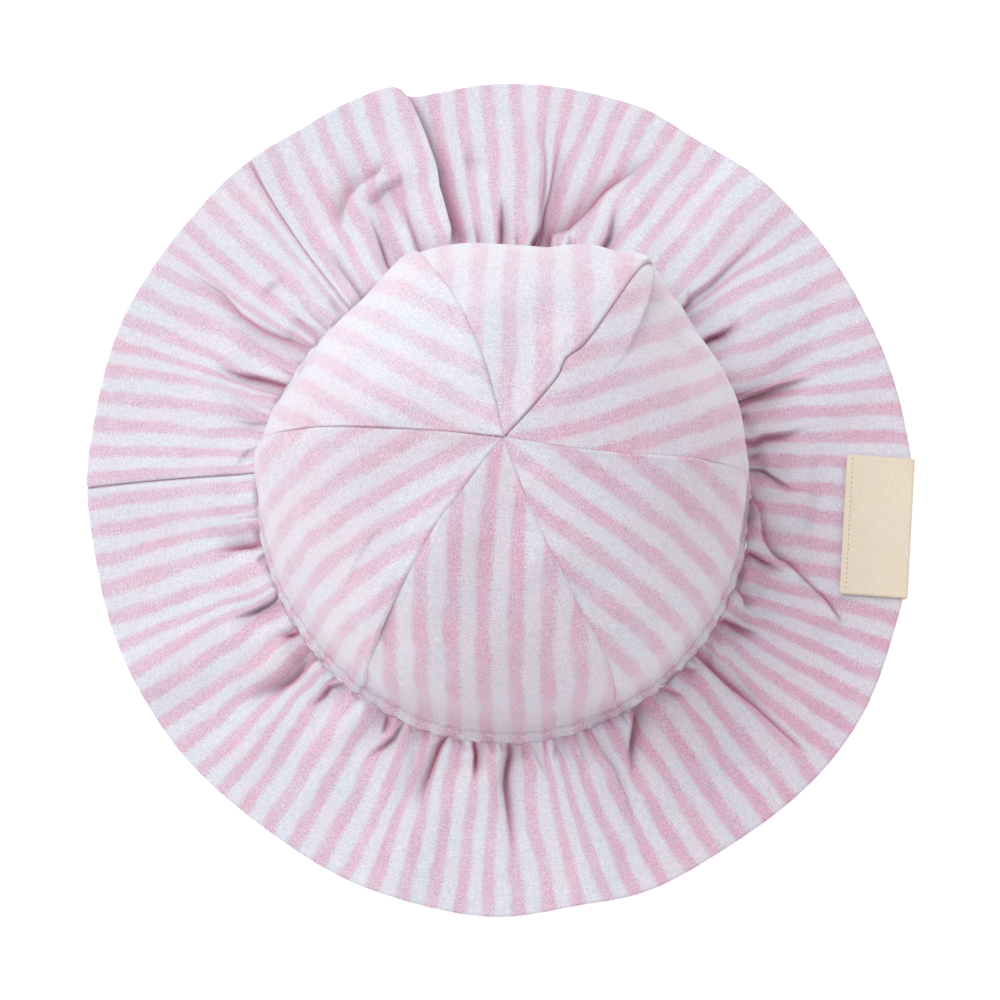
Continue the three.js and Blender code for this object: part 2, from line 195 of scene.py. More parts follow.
CROWN_FOLDS = [
    Fold(((108, 0.3), (105.5, 0.58), (102.5, 0.71), (102, 0.79)), 1.2, 4, 0),
    Fold(((63, 0.98), (83.5, 0.86), (89, 0.7)), 1, 4, 0),
    Fold(((76, 0.59), (57.5, 0.79), (49, 0.84)), 1.2, 3.5, 0),
    Fold(((63, 0.66), (58, 0.74), (47, 0.81)), -1.3, 3, 0),
    Fold(
        ((57, 0.26), (53.5, 0.32), (49.5, 0.4), (44.5, 0.51), (39, 0.6), (36, 0.65), (34, 0.7), (33.5, 0.74)),
        0.3, 0.8, 0.5, right=2.4,
    ),
    Fold(((39, 0.36), (25.5, 0.49)), 0.6, 1.2, 0.15),
    Fold(((213.5, 0.65), (213.5, 0.59), (215, 0.53), (217.5, 0.47), (220.5, 0.4)), 0.2, 1.6, 0.1, right=0.9),
    Fold(((230.5, 0.72), (219.5, 0.57), (219, 0.49)), 1.3, 2.6, 0.05),
    Fold(((179.5, 0.85), (184, 0.75), (186, 0.61)), 1, 3, 0),
    Fold(((224, 0.28), (233, 0.35), (239, 0.38), (248, 0.43)), 0.9, 1.1, 0.15),
    Fold(((264, 0.76), (265, 0.57)), 1.1, 2.2, 0.05),
    Fold(((284.5, 0.86), (281, 0.78), (277, 0.67)), 1, 2.6, 0),
    Fold(((287.5, 0.76), (281.5, 0.6)), -1, 3.2, 0),
    Fold(((345.5, 0.83), (340, 0.59)), 0.8, 2.6, 0),
    Fold(((351.5, 0.49), (357, 0.28)), 0.5, 0.7, 0.3),
    Fold(((354, 0.47), (1.5, 0.27)), 0.4, 0.7, 0.2),
    Fold(((343, 0.53), (346, 0.45), (347, 0.35)), 0.9, 1.5, 0.1, left=0.8),
]

# Brim. The rim is its inner edge, under the crown. CUT_RADIUS: where the length of its cloth is taken.
BRIM_CLOTH = 1.3 * MM
BRIM_WIDTH = 54 * MM
CUT_RADIUS = 130 * MM
RIM_RADIUS = HEAD_RADIUS - 0.7 * MM
RIM_RISE, RIM_FALL = 7.2 * MM, 1.5
RIM_TUCK, RIM_TUCK_WIDTH = 0.5 * MM, 1.3 * MM
RIM_START = 1.2 * MM
PUFF_HEIGHT, PUFF_LENGTH = 3.0 * MM, 12 * MM
FLOOR_EASE = 0.25 * MM
LEAST_HEIGHT = 0.7 * MM
BRIM_SEAM_GAP = 0.05 * MM
BRIM_SEAM_ROLL = 0.6 * MM
BRIM_SEAM_BLEND = 6
BRIM_SEAM_SHADE, BRIM_SEAM_WIDTH = 0.6, 0.35 * MM
LABEL_SEAT = 1.3 * MM + BRIM_CLOTH

# Ruffles at the crown, and unevenness of the whole brim
RUFFLE_HEIGHT, RUFFLE_SIZE, RUFFLE_STRETCH = 2.1 * MM, 4.2 * MM, 0.12
RUFFLE_ROUNDING, RUFFLE_MIDDLE = 0.004, 0.3
RUFFLE_SHADE, RUFFLE_SHADE_WIDTH = 0.8, 0.16
FINE_RUFFLE = 5 * MM
RUFFLES = table("size length seed", [(3.6 * MM, 5 * MM, 90), (8.5 * MM, 16 * MM, 91)])
LUMP_HEIGHT, LUMP_SIZE, LUMP_STRETCH, LUMP_CLEAR = 1.4 * MM, 12 * MM, 0.3, 6 * MM
DIMPLE_HEIGHT, DIMPLE_SIZE = 0.35 * MM, 6 * MM

# Brim seams
SEAM_WEST = {"hem": 178.3, "rim": 174.6}
SEAM_NORTH = {"hem": 126.6, "rim": 131.6}

# Hem outline. width: how far the hem lies from the crown, as a share of the brim's width.
HEM_OUTLINE = table("azimuth width", [
    (7, 0.952), (22, 0.962), (45, 0.992), (61, 1.012), (72, 1.066), (90, 1.072), (101, 1.045), (105, 1.13),
    (122, 1.09), (150, 1.058), (172, 1.008), (192, 0.96), (212, 0.938), (234, 0.906), (252, 0.935),
    (269, 0.964), (280, 0.937), (290, 0.961), (302, 0.942), (324, 0.978), (345, 0.945), (356, 0.92),
])

# Stripes of the brim. drift: how many stripes further on they lie at the hem than an even row would.
# lean: how many degrees further on they meet the crown.
BRIM_STRIPES = table("azimuth drift lean", [
    (6.3, 0.46, 4.4), (14.3, 0.49, 5.1), (22.3, 0.5, 3.1), (30.3, 0.51, 3.5), (38.3, 0.5, 5.2),
    (46.3, 0.43, 1.2), (54.3, 0.43, 3.5), (62.3, 0.31, 4.8), (70.3, 0.13, 4.5), (78.3, 0, 2.0),
    (86.3, -0.15, -1.2), (94.3, -0.1, -0.4), (102.3, -0.1, -1.0), (110.3, 0.04, 1.2), (118.3, -0.03, 2.9),
    (124.5, -0.03, 2.8), (130.6, -0.02, -1.2), (138.6, 0.01, 0.6), (146.6, -0.08, -2.5),
    (154.6, -0.02, -0.8), (162.6, -0.03, -5.4), (170.6, 0, -3.6), (176.5, 0, -3.4), (182.3, -0.11, -2.0),
    (190.3, -0.12, -2.6), (198.3, -0.09, 0.1), (206.3, -0.1, -2.9), (214.3, -0.11, -0.9),
    (222.3, -0.05, -0.4), (230.3, -0.02, -2.6), (238.3, 0.04, -0.8), (246.3, 0.09, 1.5),
    (254.3, 0.11, -0.3), (262.3, 0.11, -0.1), (270.3, 0.07, -1.4), (278.3, 0.06, -1.0), (286.3, 0.07, -3.6),
    (294.3, 0.04, -2.8), (302.3, 0.08, -1.3), (310.3, 0.14, 1.4), (318.3, 0.15, 3.3), (326.3, 0.19, -0.1),
    (334.3, 0.22, -0.9), (342.3, 0.26, -1.0), (350.3, 0.33, -0.4), (358.3, 0.42, 2.4),
])

BRIM_FOLDS = [
    Fold(((6.3, 0), (5.8, 0.11), (4.6, 0.17), (1.8, 0.28), (0.8, 0.36)), 2.6, 1.4, 0.8, left=0.8),
    Fold(((9.6, 0), (10.2, 0.16)), 2.5, 1.8, 0.7),
    Fold(((14.1, 0), (13, 0.28), (12.9, 0.47)), 2.8, 1.6, 0.8, left=0.8),
    Fold(((18.8, 0), (18.7, 0.12)), 2, 1, 0.7),
    Fold(((23.1, 0), (22.7, 0.34), (22.2, 0.47), (21.2, 0.61)), 4, 2.5, 1, left=1),
    Fold(((37.9, 0), (37.9, 0.1), (36.7, 0.26), (37.4, 0.33)), 3.6, 1.6, 1),
    Fold(((47, 0), (47, 0.17), (50.3, 0.24)), 2, 1.1, 0.7),
    Fold(((47.5, 0), (47.5, 0.2), (46.7, 0.32), (46, 0.67), (46.4, 0.84)), 2, 3, 0.15),
    Fold(((68.7, 0), (68.7, 0.16), (68.2, 0.26), (68.6, 0.46)), 2.8, 1.5, 0.8),
    Fold(((74.7, 0), (74.7, 0.12), (75.8, 0.2)), 1.6, 0.8, 0.6),
    Fold(((78.8, 0), (78.8, 0.17), (76, 0.22), (72, 0.49), (66, 0.85)), 3.2, 1.8, 1, right=0.8, hold=0.6),
    Fold(((82.7, 0), (82.7, 0.22), (83.5, 0.32), (83.8, 0.98)), 1.5, 3, 0.15),
    Fold(((84.2, 0), (84.2, 0.1), (81.4, 0.34), (81, 0.43), (81, 0.66), (81.8, 0.77)), 3.2, 1.7, 1, hold=0.6),
    Fold(((88, 0), (88.1, 0.19)), 1.8, 1.2, 0.3),
    Fold(((92, 0), (91.1, 0.17), (90.9, 0.4)), 2.6, 1.2, 0.8),
    Fold(((95.1, 0), (96, 0.26)), 1.8, 1, 0.4),
    Fold(((96.8, 0.59), (94.3, 0.58), (92, 0.55)), 1.6, 1.4, 0.3),
    Fold(((99.3, 0), (99.3, 0.11), (97.9, 0.2)), 1.6, 1.2, 0.3),
    Fold(((105.5, 0), (105.5, 0.1), (105, 0.17)), 1.2, 1, 0.25),
    Fold(((109.1, 0), (109.1, 0.13), (108.4, 0.42)), 2.2, 1.3, 0.45),
    Fold(((115.2, 0.43), (113.7, 0.46), (108.1, 0.49), (106.3, 0.59)), 1.6, 3, 0.5, left=1),
    Fold(((116.5, 0), (116.5, 0.12), (115.5, 0.29), (115.1, 0.45)), 2.8, 1.0, 0.9),
    Fold(
        ((121.8, 0.39), (119.3, 0.48), (117.4, 0.54), (114.7, 0.59), (108.1, 0.63)),
        2.4, 1.5, 0.7, right=2.4, hold=0.8,
    ),
    Fold(((125.3, 0), (125.1, 0.23), (123.8, 0.41)), 2.2, 0.8, 0.7),
    Fold(((131.1, 0), (131.6, 0.13)), 1.4, 0.8, 0.3),
    Fold(((137.6, 0), (139, 0.19), (140.3, 0.24)), 2, 1.4, 0.5),
    Fold(((140.1, 0.41), (138.4, 0.42), (133.2, 0.38)), 1.2, 4, 0.2),
    Fold(((142.2, 0), (144.4, 0.28), (144.5, 0.45), (143.3, 0.61), (144, 0.89)), 2.6, 1.6, 0.75, hold=0.65),
    Fold(((147.9, 0), (147.9, 0.21), (147.4, 0.33), (146.2, 0.46)), 1.2, 0.7, 0.3),
    Fold(((152.3, 0), (152.7, 0.18), (155.5, 0.45)), 3.6, 1.5, 1, right=1),
    Fold(((160.6, 0), (159.3, 0.27), (160, 0.4)), 2, 2.5, 0.2),
    Fold(((162.2, 0), (163.5, 0.18), (163, 0.27)), 2.2, 1.2, 0.5),
    Fold(((168.2, 0), (169.7, 0.1), (171.6, 0.13), (174.8, 0.16)), 1.4, 3, 0.15),
    Fold(((187.5, 0), (187.7, 0.06)), 1.4, 0.8, 0.4),
    Fold(((190, 0), (191.1, 0.01), (191.2, 0.06), (190.4, 0.31)), 3.6, 1.4, 1, left=0.8),
    Fold(((194, 0), (195.4, 0.08)), 1.8, 0.8, 0.7),
    Fold(((196.9, 0), (197, 0.02)), 1.6, 1, 0.5),
    Fold(((203.4, 0), (204.2, 0.04), (204.3, 0.34)), 3.2, 1.5, 0.75),
    Fold(((206.1, 0), (205.9, 0)), 1.4, 0.8, 0.4),
    Fold(((212, 0), (212.8, 0), (212.1, 0.13)), 2.8, 1.3, 0.8),
    Fold(((215.2, 0), (215.8, 0)), 1.2, 0.8, 0.3),
    Fold(((218.2, 0), (219, 0)), 1.2, 0.8, 0.4),
    Fold(
        ((220.5, 0), (219.5, 0.01), (221.1, 0.13), (221.2, 0.21), (220.7, 0.3), (217.2, 0.6)),
        4, 2.4, 0.8, left=0.8,
    ),
    Fold(((229.6, 0), (228.2, 0.07), (228.5, 0.27)), 2.6, 1.2, 0.6),
    Fold(((232.5, 0), (233.5, 0.04)), 1.6, 0.8, 0.6),
    Fold(((241.2, 0), (242.1, 0.14)), 2.2, 1, 0.8),
    Fold(((246, 0), (245.5, 0.1), (242.3, 0.31)), 2.8, 1.8, 0.5),
    Fold(((248.2, 0), (250.2, 0.08)), 1.2, 0.8, 0.3),
    Fold(((251.4, 0), (253.5, 0.06)), 1.2, 0.8, 0.3),
    Fold(((256.8, 0), (255.9, 0.07), (254.8, 0.36), (255.1, 0.56)), 3.6, 1.7, 0.85, left=1),
    Fold(((258.5, 0), (259.4, 0.06)), 1.4, 0.8, 0.3),
    Fold(((260.4, 0), (261.3, 0.1)), 1.4, 0.8, 0.3),
    Fold(((263.2, 0), (264, 0.26)), 2.8, 1.1, 1),
    Fold(((266.3, 0), (267.1, 0.09)), 1.4, 0.8, 0.4),
    Fold(((268.4, 0), (269.1, 0.07)), 1.4, 0.8, 0.45),
    Fold(((270.9, 0), (269.8, 0.24), (271.3, 0.54), (271.7, 0.74)), 3, 1.7, 0.65),
    Fold(((273.6, 0), (275, 0.15)), 1.6, 1, 0.5),
    Fold(((275.7, 0), (279.3, 0.29)), 1.2, 0.8, 0.3),
    Fold(((281.8, 0), (280.1, 0.16)), 1.6, 2.5, 0.2),
    Fold(((287.7, 0), (287.3, 0.21), (287.7, 0.31)), 1.6, 2.2, 0.2),
    Fold(((290.6, 0), (292.3, 0.44), (291.9, 0.6), (292.3, 0.78)), 1.5, 0.8, 0.45),
    Fold(((301.9, 0), (299.7, 0.08), (297.9, 0.15), (296.2, 0.23), (294.1, 0.41)), 3.6, 1.5, 1, right=1),
    Fold(((308.1, 0), (310.1, 0.05), (312.4, 0.18)), 2.6, 1.3, 0.9),
    Fold(((315.7, 0), (317.4, 0.07), (319.4, 0.09)), 1.8, 0.8, 0.8),
    Fold(((320.3, 0), (319.9, 0.26), (320.4, 0.46), (319.7, 0.94)), 2.4, 1.2, 1, right=2.4, hold=0.8),
    Fold(((322.8, 0), (325, 0.07)), 1.6, 1, 0.4),
    Fold(((328.3, 0), (330.4, 0.04), (331.4, 0.34)), 3.6, 1.8, 1, left=0.8),
    Fold(((336.3, 0), (336.3, 0.18), (337.7, 0.5)), 1.5, 2.5, 0.2),
    Fold(((339.1, 0), (338.9, 0.03), (338, 0.08), (336.4, 0.12), (335.8, 0.19)), 2.6, 1.2, 0.8, right=0.8),
    Fold(((342, 0), (341.8, 0.06)), 1.6, 0.8, 0.5),
    Fold(((345.9, 0), (347.3, 0.04), (345.6, 0.24), (345.5, 0.33)), 3.2, 1.8, 1),
    Fold(
        ((0.6, 0), (358.1, 0.05), (351.5, 0.12), (348.8, 0.21), (342.8, 0.55), (339.6, 0.71)),
        0.9, 0.7, 1, right=2.4, hold=0.9,
    ),
]

# How strongly the brim is folded
BRIM_GATHERS = table("azimuth gain", [
    (0, 1.5), (40, 1.2), (85, 1.6), (110, 1.4), (150, 1.3), (200, 1.25), (270, 1.25), (315, 1.1),
])

# The fold where the brim laps over itself
LAP = {"hem": 104.0, "rim": 101.9, "bow": -1.3}
LAP_START, LAP_FULL = 1 * MM, 12 * MM
LAP_HEIGHT, LAP_WIDTH, LAP_STEP = 4.2 * MM, 4.2 * MM, 0.55
LAP_FADE = 26 * MM
LAP_DIP, LAP_DIP_WIDTH = 0.12, 9 * MM
LAP_OVERHANG, LAP_SLIDE = 4.6 * MM, 1.6
LAP_CORNER, LAP_CORNER_PLACE, LAP_CORNER_SPREAD = 3 * MM, 0.35, 0.55
LAP_SHADE_FADE = 0.6

# Waves of the brim. count: waves in a turn. phase: in degrees. height: in millimetres at the hem.
HEM_WAVES = table("count phase height", [
    (9, 40, 1.2), (5, 200, 0.9), (14, 95, 0.7), (23, 10, 0.35),
])

# Stripes. STRIPE_WANDER: how far they stray, in stripes.
STRIPE_WANDER = 0.045
STRIPE_PITCH = 9.35 * MM
COOL_TINT, WARM_TINT = (0.97, 1.0, 1.01, 1), (1.015, 0.97, 0.97, 1)
LONG_STRIPE_AT = 77.3
LONG_STRIPE_TURN = 4.14
NORTH_STRIPE_TURN = 3.85
SHORT_STRIPE_AT = 173.3
SHORT_STRIPE_TURN = 3.86

# Label. LABEL_HOLD: how far past its length and its depth the label still presses the brim flat.
LABEL_AZIMUTH = -4.1
LABEL_CLOTH = 0.8 * MM
LABEL_LENGTH = 43.5 * MM
LABEL_DEPTH = 21.3 * MM
LABEL_BEND = 1 * MM
LABEL_HOLD = (1.45, 1.4)
LABEL_STITCH_INSET = 1.7 * MM
LABEL_STITCHED = 0.475

# Stitches: their spacing, how far each turns from the row, and their size. The ends of each dip into the cloth.
STITCH_END, STITCH_DROP = 0.3, 0.35
STITCH_REACH, STITCH_TURN = 0.4 * MM, 2.4
CROWN_STITCH = {"step": 2.6 * MM, "skew": 0.2, "size": (1.9 * MM, 0.6 * MM, 0.7 * MM)}
LABEL_STITCH = {"step": 1.5 * MM, "skew": 0.25, "size": (1.2 * MM, 0.42 * MM, 0.4 * MM)}

# Stage. The camera's angle is estimated from the photo.
FLOOR_SIZE, FLOOR_HEIGHT = 8, -0.2 * MM
FLOOR_COLOUR, FLOOR_GLOW = (0.95, 0.95, 0.95, 1), 0.4
SKY_COLOUR, SKY_STRENGTH = (1.0, 0.96, 0.985, 1), 0.725
WINDOW_PLACE, WINDOW_SIZE = (-0.8, 0.6, 1.45), 1.0
WINDOW_POWER, WINDOW_COLOUR = 15.4, (0.95, 1.0, 1.0)
CAMERA_ELEVATION, CAMERA_DISTANCE = 82.0, 0.9
CAMERA_LENS, CAMERA_SENSOR = 103.3, 36
CAMERA_AIM = (-1.27 * MM, 0.44 * MM)

# Fineness of the meshes. EDGE_STEPS: distances from an edge in millimetres. HEM_STEPS: shares of the brim's width.
PANEL_ROWS = 110
PANEL_COLUMNS = 70
EDGE_STEPS = (0.0, 0.12, 0.3, 0.55, 0.9, 1.4, 2.1, 3.0)
TOPSTITCH_ROW = 6
BRIM_ROWS = 50
BRIM_ROW_CURVE = 1.3
BRIM_COLUMN_TURN = 0.32
HEM_STEPS = (0.0, 0.012, 0.03)
LABEL_ROWS, LABEL_BEND_ROWS, LABEL_COLUMNS = 40, 13, 60
EDGE_BULGE = 0.3


def smooth(value, low, high):
    """0 below low, 1 above high, and an even curve between them."""
    share = np.clip((value - low) / (high - low), 0, 1)
    return share * share * (3 - 2 * share)


def bell(offset, width):
    """1 at no offset, and a bell curve down to 0 away from it."""
    return np.exp(-(offset / width) ** 2)


def lerp(start, end, share):
    """The value a share of the way from start to end."""
    return start + (end - start) * share


def signed_turn(start, end):
    """Turn from one azimuth to another, from -180 to 180 degrees."""
    return (end - start + TURN / 2) % TURN - TURN / 2


def around(table, column, azimuth):
    """A column of a table of azimuths, read between its rows with even curves."""
    places = np.array([row["azimuth"] for row in table], float)
    values = np.array([row[column] for row in table], float)
    offset = (azimuth - places[0]) % TURN
    places = np.append(places - places[0], TURN)
    values = np.append(values, values[0])
    row = np.clip(np.searchsorted(places, offset, side="right") - 1, 0, len(places) - 2)
    share = smooth(offset, places[row], places[row + 1])
    return lerp(values[row], values[row + 1], share)


def soft_noise(x, y, size, seed):
    """Smooth noise from -1 to 1 over a plane, with lumps of the given size."""
    lattice = np.random.default_rng(seed).uniform(-1, 1, (256, 256))
    column, row = x / size, y / size
    left, low = np.floor(column).astype(int), np.floor(row).astype(int)
    across, up = smooth(column - left, 0, 1), smooth(row - low, 0, 1)

    def corner(step_x, step_y):
        return lattice[(left + step_x) % 256, (low + step_y) % 256]

    lower = lerp(corner(0, 0), corner(1, 0), across)
    upper = lerp(corner(0, 1), corner(1, 1), across)
    return lerp(lower, upper, up)


def fold_cloth(x, y, place, folds, edge=1.0):
    """Effect of folds on points of a plane. place turns an azimuth and a share into a point of the plane, and
    edge says how much sharper a fold is on the side that faces the light.

    Gives the lift, the shift along x and y, and how much painted shade each point gets."""
    lift, shift_x, shift_y, shade = 0 * x, 0 * x, 0 * x, 0 * x
    for fold in folds:
        path = np.array([place(azimuth, share) for azimuth, share in fold.path])
        runs = np.diff(path, axis=0)
        lengths = np.hypot(runs[:, 0], runs[:, 1])
        starts = np.concatenate([[0], np.cumsum(lengths)[:-1]])
        reach = 3 * FOLD_REACH  # past this a fold's effect is too small to matter
        near = (x > path[:, 0].min() - reach) & (x < path[:, 0].max() + reach)
        near &= (y > path[:, 1].min() - reach) & (y < path[:, 1].max() + reach)
        here_x, here_y = x[near], y[near]
        gap, along = np.full(here_x.shape, FAR), np.zeros(here_x.shape)
        toward_x, toward_y = np.zeros(here_x.shape), np.zeros(here_x.shape)
        for start, run, length, before in zip(path, runs, lengths, starts):
            share = np.clip(((here_x - start[0]) * run[0] + (here_y - start[1]) * run[1]) / length ** 2, 0, 1)
            away_x = here_x - start[0] - share * run[0]
            away_y = here_y - start[1] - share * run[1]
            away = np.hypot(away_x, away_y)
            side = np.where((here_y - start[1]) * run[0] - (here_x - start[0]) * run[1] > 0, 1, -1)
            closer = away < np.abs(gap)
            gap = np.where(closer, away * side, gap)
            along = np.where(closer, before + share * length, along)
            toward_x, toward_y = np.where(closer, away_x, toward_x), np.where(closer, away_y, toward_y)
        share = along / np.sum(lengths)
        strength = 1 - smooth(share, fold.hold, 1.0)
        if fold.path[0][1] > 0:
            strength *= smooth(share, 0.0, FOLD_START)
        width = FOLD_WIDTH * fold.width * MM * (1 + FOLD_SPREAD * share)
        valley = FOLD_DEPTH * np.exp(-(np.abs(gap) / width) ** VALLEY_CURVE)
        step = smooth(gap, -FOLD_STEP, FOLD_STEP)
        course = (path[-1] - path[0]) / np.hypot(*(path[-1] - path[0]))
        turned = edge * (course[0] * LIT_SIDE[1] - course[1] * LIT_SIDE[0])
        lit = FOLD_RIDGE * fold.dip * turned
        left, right = fold.left + max(lit, 0), fold.right + max(-lit, 0)
        shoulder = MM * np.exp(-np.abs(gap) / FOLD_REACH) * (left * step + right * (1 - step))
        hollow = FOLD_DEPTH * bell(gap, width + HOLLOW_WIDTH)
        ridge_side = smooth(gap * np.sign(left - right), RIDGE_START, RIDGE_END)
        sunk = 1 - min(abs(turned), 1) * RIDGE_HOLD * ridge_side
        dip = fold.dip * MM * sunk * (VALLEY_SHARE * valley + HOLLOW_SHARE * hollow)
        lift[near] += strength * (shoulder - dip)
        pull = -FOLD_PULL * np.clip(fold.dip / PULL_DEPTH, 0, 1) * strength * bell(gap, PULL_WIDTH * width)
        shift_x[near] += pull * toward_x
        shift_y[near] += pull * toward_y
        # Painted shade: a soft band, narrower on the lit side and wider on the other, with a thin painted crease line
        core = FOLD_WIDTH * fold.width * MM * (SHADE_WIDTH - SHADE_TAPER * share)
        core *= np.where(gap * (left - right) > 0, 1 - LIT_NARROWING * edge, 1 + DARK_WIDENING * edge)
        deep = (1 - CREASE_SHARE) * bell(gap, SHADE_SPREAD * core) + CREASE_SHARE * bell(gap, CREASE_WIDTH)
        shade[near] = np.maximum(shade[near], fold.dark * strength * deep)
    return lift, shift_x, shift_y, shade


def to_world(azimuth, radius, height):
    """Points at azimuths and radii about the crown's centre."""
    angle = np.radians(azimuth)
    x = CENTRE[0] + radius * np.cos(angle)
    y = CENTRE[1] + radius * np.sin(angle)
    return np.stack([x, y, height + 0 * x], axis=-1)


def grid_normals(points):
    """Unit normals of a grid of points, rows x columns x 3."""
    across = np.gradient(points, axis=1)
    up = np.gradient(points, axis=0)
    normals = np.cross(across, up)
    return normals / np.maximum(np.linalg.norm(normals, axis=2, keepdims=True), 1e-12)


def soften(values, steps, axis):
    """Mean of each value with its neighbours, so many times over."""
    for _ in range(steps):
        padded = np.concatenate([values.take([0], axis), values, values.take([-1], axis)], axis)
        count = padded.shape[axis]
        before = padded.take(range(0, count - 2), axis)
        after = padded.take(range(2, count), axis)
        values = values / 2 + before / 4 + after / 4
    return values


def sheet_piece(name, outer, inner, cloth, shade, faded, material):
    """A sheet of cloth between two grids, rows x columns, counter-clockwise seen from outside.

    Its edges are round. cloth holds each grid point's place on the flat cloth, shade how much painted shade it gets
    in a fold or seam, and the next grid how much paler its stripes are painted where the light falls, as painted
    light."""
    rows, columns = outer.shape[:2]
    count = rows * columns
    number = np.arange(count).reshape(rows, columns)
    low, right = number[0, :-1], number[:-1, -1]
    high, left = number[-1, :0:-1], number[:0:-1, 0]
    edge = np.concatenate([low, right, high, left])
    outer_flat, inner_flat = outer.reshape(-1, 3), inner.reshape(-1, 3)
    inwards = np.concatenate([number[1, :-1], number[:-1, -2], number[-2, :0:-1], number[:0:-1, 1]])
    outwards = outer_flat[edge] - outer_flat[inwards]
    outwards /= np.maximum(np.linalg.norm(outwards, axis=1, keepdims=True), 1e-9)
    thick = np.linalg.norm(outer_flat[edge] - inner_flat[edge], axis=1, keepdims=True)
    bulge = (outer_flat[edge] + inner_flat[edge]) / 2 + outwards * thick * EDGE_BULGE
    places = np.concatenate([outer_flat, inner_flat, bulge])

    a, b, c, d = number[:-1, :-1], number[:-1, 1:], number[1:, 1:], number[1:, :-1]
    outside = np.stack([a, b, c, d], axis=-1).reshape(-1, 4)
    inside = outside[:, ::-1] + count
    after = np.roll(edge, -1)
    rim = 2 * count + np.arange(len(edge))
    rim_after = np.roll(rim, -1)
    upper = np.stack([after, edge, rim, rim_after], axis=-1)
    lower = np.stack([rim_after, rim, edge + count, after + count], axis=-1)
    faces = np.concatenate([outside, inside, upper, lower])

    mesh = bpy.data.meshes.new(name)
    mesh.from_pydata(places.tolist(), [], faces.tolist())
    mesh.polygons.foreach_set("use_smooth", [True] * len(faces))
    flat = cloth.reshape(-1, 2)
    flat = np.concatenate([flat, flat, flat[edge]])
    corners = np.empty(len(mesh.loops), int)
    mesh.loops.foreach_get("vertex_index", corners)
    mesh.uv_layers.new(name="cloth").data.foreach_set("uv", flat[corners].ravel())
    for label, values in (("shade", shade), ("faded", faded)):
        values = values.reshape(-1)
        values = np.concatenate([values, 0 * values, values[edge]])
        mesh.attributes.new(label, "FLOAT", "POINT").data.foreach_set("value", values)
    mesh.materials.append(material)
    mesh.update()
    piece = bpy.data.objects.new(name, mesh)
    bpy.context.collection.objects.link(piece)
    return piece


class Nodes:
    """A new material and its nodes. A socket is given by the node, or by the node and its output's name."""

    def __init__(self, name):
        self.material = bpy.data.materials.new(name)
        self.material.use_nodes = True
        self.tree = self.material.node_tree
        self.tree.nodes.clear()

    def add(self, kind, inputs=None, **settings):
        node = self.tree.nodes.new(kind)
        for name, value in settings.items():
            setattr(node, name, value)
        for name, value in (inputs or {}).items():
            self.join(node.inputs[name], value)
        return node

    def join(self, socket, value):
        if isinstance(value, tuple) and isinstance(value[0], bpy.types.Node):
            self.tree.links.new(value[0].outputs[value[1]], socket)
        elif isinstance(value, bpy.types.Node):
            self.tree.links.new(value.outputs[0], socket)
        else:
            socket.default_value = value

    def math(self, operation, first, second=0.0, third=0.0):
        return self.add("ShaderNodeMath", {0: first, 1: second, 2: third}, operation=operation)

    def mix(self, share, first, second, blend="MIX"):
        inputs = {"Factor": share, 6: first, 7: second}
        node = self.add("ShaderNodeMix", inputs, data_type="RGBA", blend_type=blend)
        return (node, 2)

    def fibres(self, cloth, across, along, seed):
        """Noise drawn out into threads: lumps so many metres across and along the stripes."""
        size = (1 / across, 1 / along, 1)
        place = self.add("ShaderNodeMapping", {"Vector": cloth, "Scale": size, "Location": (seed, seed, 0)})
        return self.add("ShaderNodeTexNoise", {"Vector": place, "Scale": 1.0, "Detail": 2.0, "Roughness": 0.6})

    def spread(self, value, least, most, low=0.3, high=0.7, curve="LINEAR"):
        """A value from low to high, which noise seldom leaves, drawn out to least and most."""
        inputs = {"Value": value, "From Min": low, "From Max": high, "To Min": least, "To Max": most}
        return self.add("ShaderNodeMapRange", inputs, interpolation_type=curve)

    def cloth(self):
        """Place on the flat cloth, in metres."""
        return (self.add("ShaderNodeUVMap", uv_map="cloth"), "UV")

    def stored(self, name):
        """A number stored at each point of the mesh."""
        return (self.add("ShaderNodeAttribute", attribute_name=name), "Fac")

    def surface(self, colour, relief, strength, depth, roughness, sheen):
        """Finish a material with a matt surface, its relief as bumps."""
        bump = self.add("ShaderNodeBump", {"Height": relief, "Strength": strength, "Distance": depth})
        inputs = {"Base Color": colour, "Normal": bump, "Roughness": roughness, "Specular IOR Level": 0.2}
        inputs.update({"Sheen Weight": sheen, "Sheen Roughness": 0.5})
        shader = self.add("ShaderNodeBsdfPrincipled", inputs)
        self.add("ShaderNodeOutputMaterial", {"Surface": shader})
        return self.material


